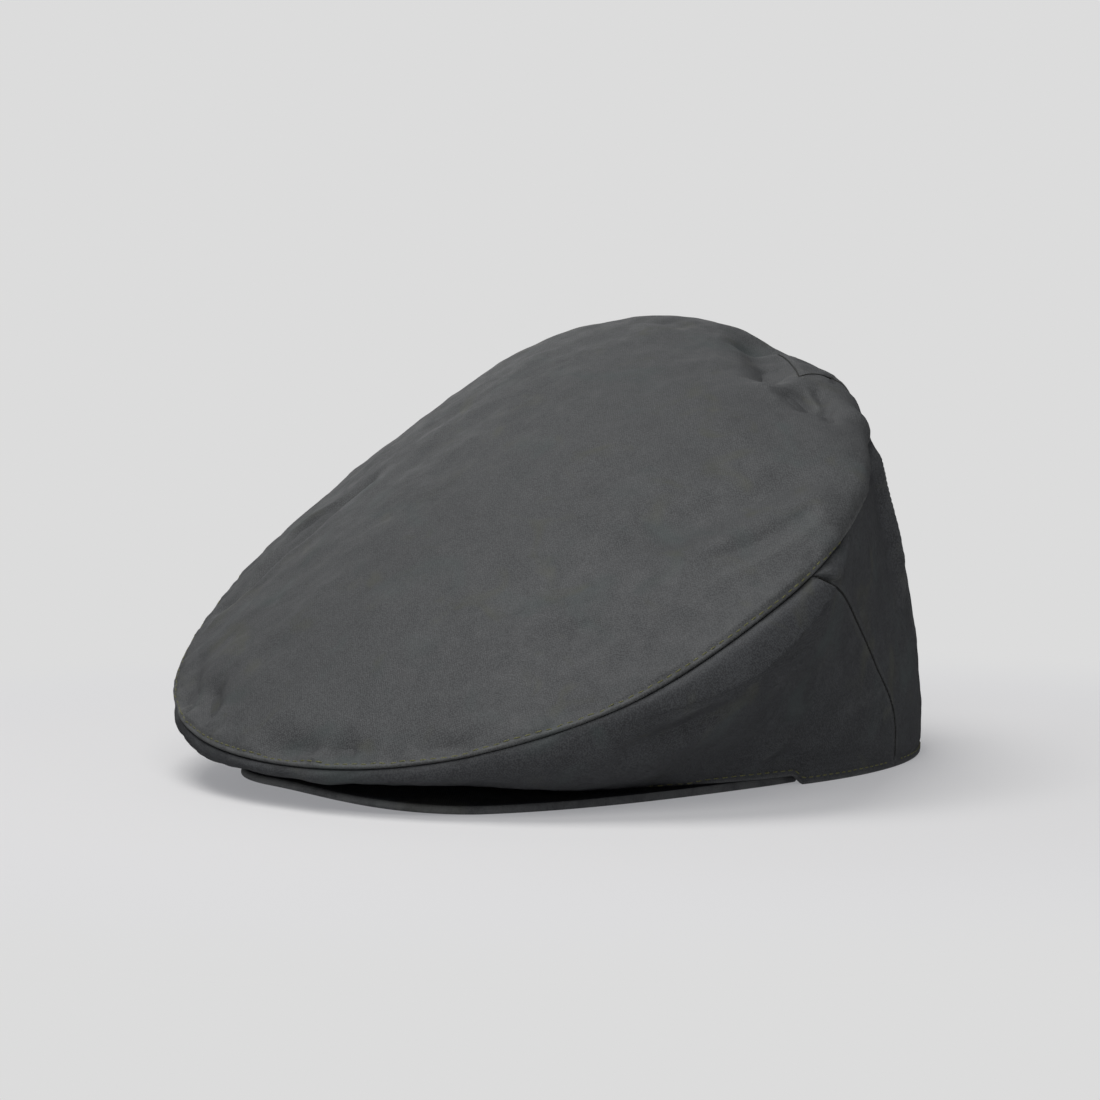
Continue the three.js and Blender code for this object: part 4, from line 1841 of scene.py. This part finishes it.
@dataclass
class FlatCap:
    """The whole cap: four cloth panels, the peak and the stitching.

    Stitch lines are millimetres above the seam or hem beside them, and the other places are
    degrees round the cap or levels on its body.
    """

    body: CapBody
    top_finish: WaxedCotton = WaxedCotton(TOP_SLOT)
    # A darker copy of the top's cloth for the side and back panels: painted shade for walls that lie under
    # the top's overhang, away from the lights.
    shaded_side_finish: WaxedCotton = WaxedCotton(
        SIDE_SLOT, dark=(0.034, 0.035, 0.038, 1.0), light=(0.063, 0.066, 0.070, 1.0),
    )
    # A still darker copy of the same cloth for the peak: painted shade for the peak, which lies in deep
    # shade under the crown.
    shaded_peak_finish: WaxedCotton = WaxedCotton(
        PEAK_SLOT, dark=(0.028, 0.028, 0.032, 1.0), light=(0.050, 0.051, 0.057, 1.0),
    )
    edge_stitch: Stitch = Stitch(
        SewingThread("olive_thread", (0.080, 0.080, 0.026, 1.0), (0.165, 0.165, 0.065, 1.0)),
    )
    # Near-black thread for beads laid in the side seams and the back tuck: painted shade standing in for
    # the shadow in those seam grooves.
    seam_shadow_thread: SewingThread = SewingThread(
        "seam_shadow_thread", (0.008, 0.008, 0.007, 1.0), (0.020, 0.020, 0.018, 1.0),
    )
    crown_stitch_line: float = 1.6
    crown_half_turn: float = 81.5
    hem_stitch_line: float = 2.1
    hem_half_turn: float = 117.5
    hem_turn_left: tuple[float, float] = (123.0, 178.5)
    hem_turn_right: tuple[float, float] = (181.5, 237.0)
    side_seam_levels: tuple[float, float] = (0.12, 3.9)
    path_step: float = 0.05

    def build(self) -> None:
        """Builds, dresses and declares each piece in turn."""
        side_seam = smooth_table([p.level for p in SIDE_SEAM], [p.around for p in SIDE_SEAM])
        self._finish(Peak(self.body, self.shaded_peak_finish))
        panels = self._panels(side_seam)
        for panel in panels:
            self._finish(panel)
        for row in self._stitch_rows({panel.name: panel.piece for panel in panels}, side_seam):
            self._finish(row)

    def _panels(self, side_seam: SeamLine) -> list[Panel]:
        """Cuts the cloth into its panels.

        Args:
            side_seam: the angle of the left side seam at a level.

        Returns:
            The top, the side panel and the two back panels.
        """
        relief = Relief(self.body)
        wall = {"body": self.body, "relief": relief, "slot": SIDE_SLOT, "finish": self.shaded_side_finish}

        def back_seam(level: np.ndarray) -> np.ndarray:
            """The angle of the seam in the middle of the back."""
            return np.full_like(level, 180.0)

        return [
            TopPanel(
                self.body, relief, name="top_panel_cloth", node="top_panel", slot=TOP_SLOT,
                finish=self.top_finish, flat_size=(0.235, 0.255), flat_area=0.0425,
                rests_on=("side_panel_cloth",),
            ),
            WallPanel(
                **wall, name="side_panel_cloth", node="side_panel", flat_size=(0.42, 0.085),
                flat_area=0.0235, rests_on=("peak_cloth",), columns=400, rows=88,
                start=lambda level: -side_seam(level), end=side_seam,
            ),
            WallPanel(
                **wall, name="back_panel_left_cloth", node="back_panel_left",
                flat_size=(0.130, 0.125), flat_area=0.0142, rests_on=("floor",), columns=130,
                rows=108, start=side_seam, end=back_seam,
            ),
            WallPanel(
                **wall, name="back_panel_right_cloth", node="back_panel_right",
                flat_size=(0.135, 0.130), flat_area=0.0160, rests_on=("floor",), columns=120,
                rows=96, start=back_seam, end=lambda level: 360.0 - side_seam(level),
            ),
        ]

    def _stitch_rows(self, cloths: dict[str, bpy.types.Object],
                     side_seam: SeamLine) -> Iterator[StitchRow]:
        """Gives the rows of stitches that show; along the side seams and the back tuck they are near-black
        beads that paint the shade in those seams.

        Args:
            cloths: the cloth pieces by name.
            side_seam: the angle of the left side seam at a level.

        Yields:
            A row that isn't built yet.
        """
        top, side = cloths["top_panel_cloth"], cloths["side_panel_cloth"]
        front = np.linspace(-self.crown_half_turn, self.crown_half_turn, 700)
        path = self._beside(front, SEAM_LEVEL, self.crown_stitch_line)
        yield StitchRow("crown_stitches", self.edge_stitch, top, TOP_SLOT, path)
        for name, cloth, ends, count in (
            ("hem_stitches", side, (-self.hem_half_turn, self.hem_half_turn), 600),
            ("hem_stitches_left", cloths["back_panel_left_cloth"], self.hem_turn_left, 200),
            ("hem_stitches_right", cloths["back_panel_right_cloth"], self.hem_turn_right, 200),
        ):
            path = self._beside(np.linspace(*ends, count), HEM_LEVEL, self.hem_stitch_line)
            yield StitchRow(name, self.edge_stitch, cloth, SIDE_SLOT, path)
        # Near-black beads along the side seams: painted seam shadow.
        seam_shadow_stitch = Stitch(self.seam_shadow_thread, pitch=1.5, radius=0.42)
        levels = np.linspace(*self.side_seam_levels, 120)
        for name, sign in (("left", 1.0), ("right", -1.0)):
            path = self.body.point(sign * side_seam(levels), levels)
            yield StitchRow(f"side_seam_shadow_stitches_{name}", seam_shadow_stitch, side, SIDE_SLOT, path)
        # Near-black beads along the back tuck: painted shadow in the tuck's crease.
        tuck_shadow_stitch = Stitch(self.seam_shadow_thread, pitch=1.2, radius=0.22)
        tuck = np.array(BACK_TUCK, float)
        share = np.linspace(0.0, len(tuck) - 1.0, 120)
        around, level = (np.interp(share, np.arange(len(tuck)), tuck[:, k]) for k in (0, 1))
        path = self.body.point(around, level)
        yield StitchRow("back_tuck_shadow_stitches", tuck_shadow_stitch, top, TOP_SLOT, path)

    def _beside(self, around: np.ndarray, level: float, distance: float) -> np.ndarray:
        """Lays a path a small distance above a level of the body.

        Args:
            around: angles along the path.
            level: the level of the seam or the hem.
            distance: millimetres above it.

        Returns:
            A point for each angle.
        """
        rise = self.body.point(around, level + self.path_step) - self.body.point(around, level)
        slope = np.linalg.norm(rise, axis=1) / self.path_step
        return self.body.point(around, level + distance / slope)

    def _finish(self, part: Panel | Peak | StitchRow) -> None:
        """Args:
            part: the panel, the peak or the row of stitches.
        """
        part.build()
        part.dress()
        part.declare()
        LOG.info("%s: %d faces", part.name, len(part.piece.data.polygons))


def main() -> None:
    """Loads the frame, builds the studio and the cap, and logs each piece's face count."""
    logging.basicConfig(level=logging.INFO, format="%(message)s")
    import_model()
    bpy.context.scene.view_settings.view_transform = "Standard"
    Studio().build()
    FlatCap(CapBody()).build()
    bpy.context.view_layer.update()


if __name__ == "__main__":
    main()
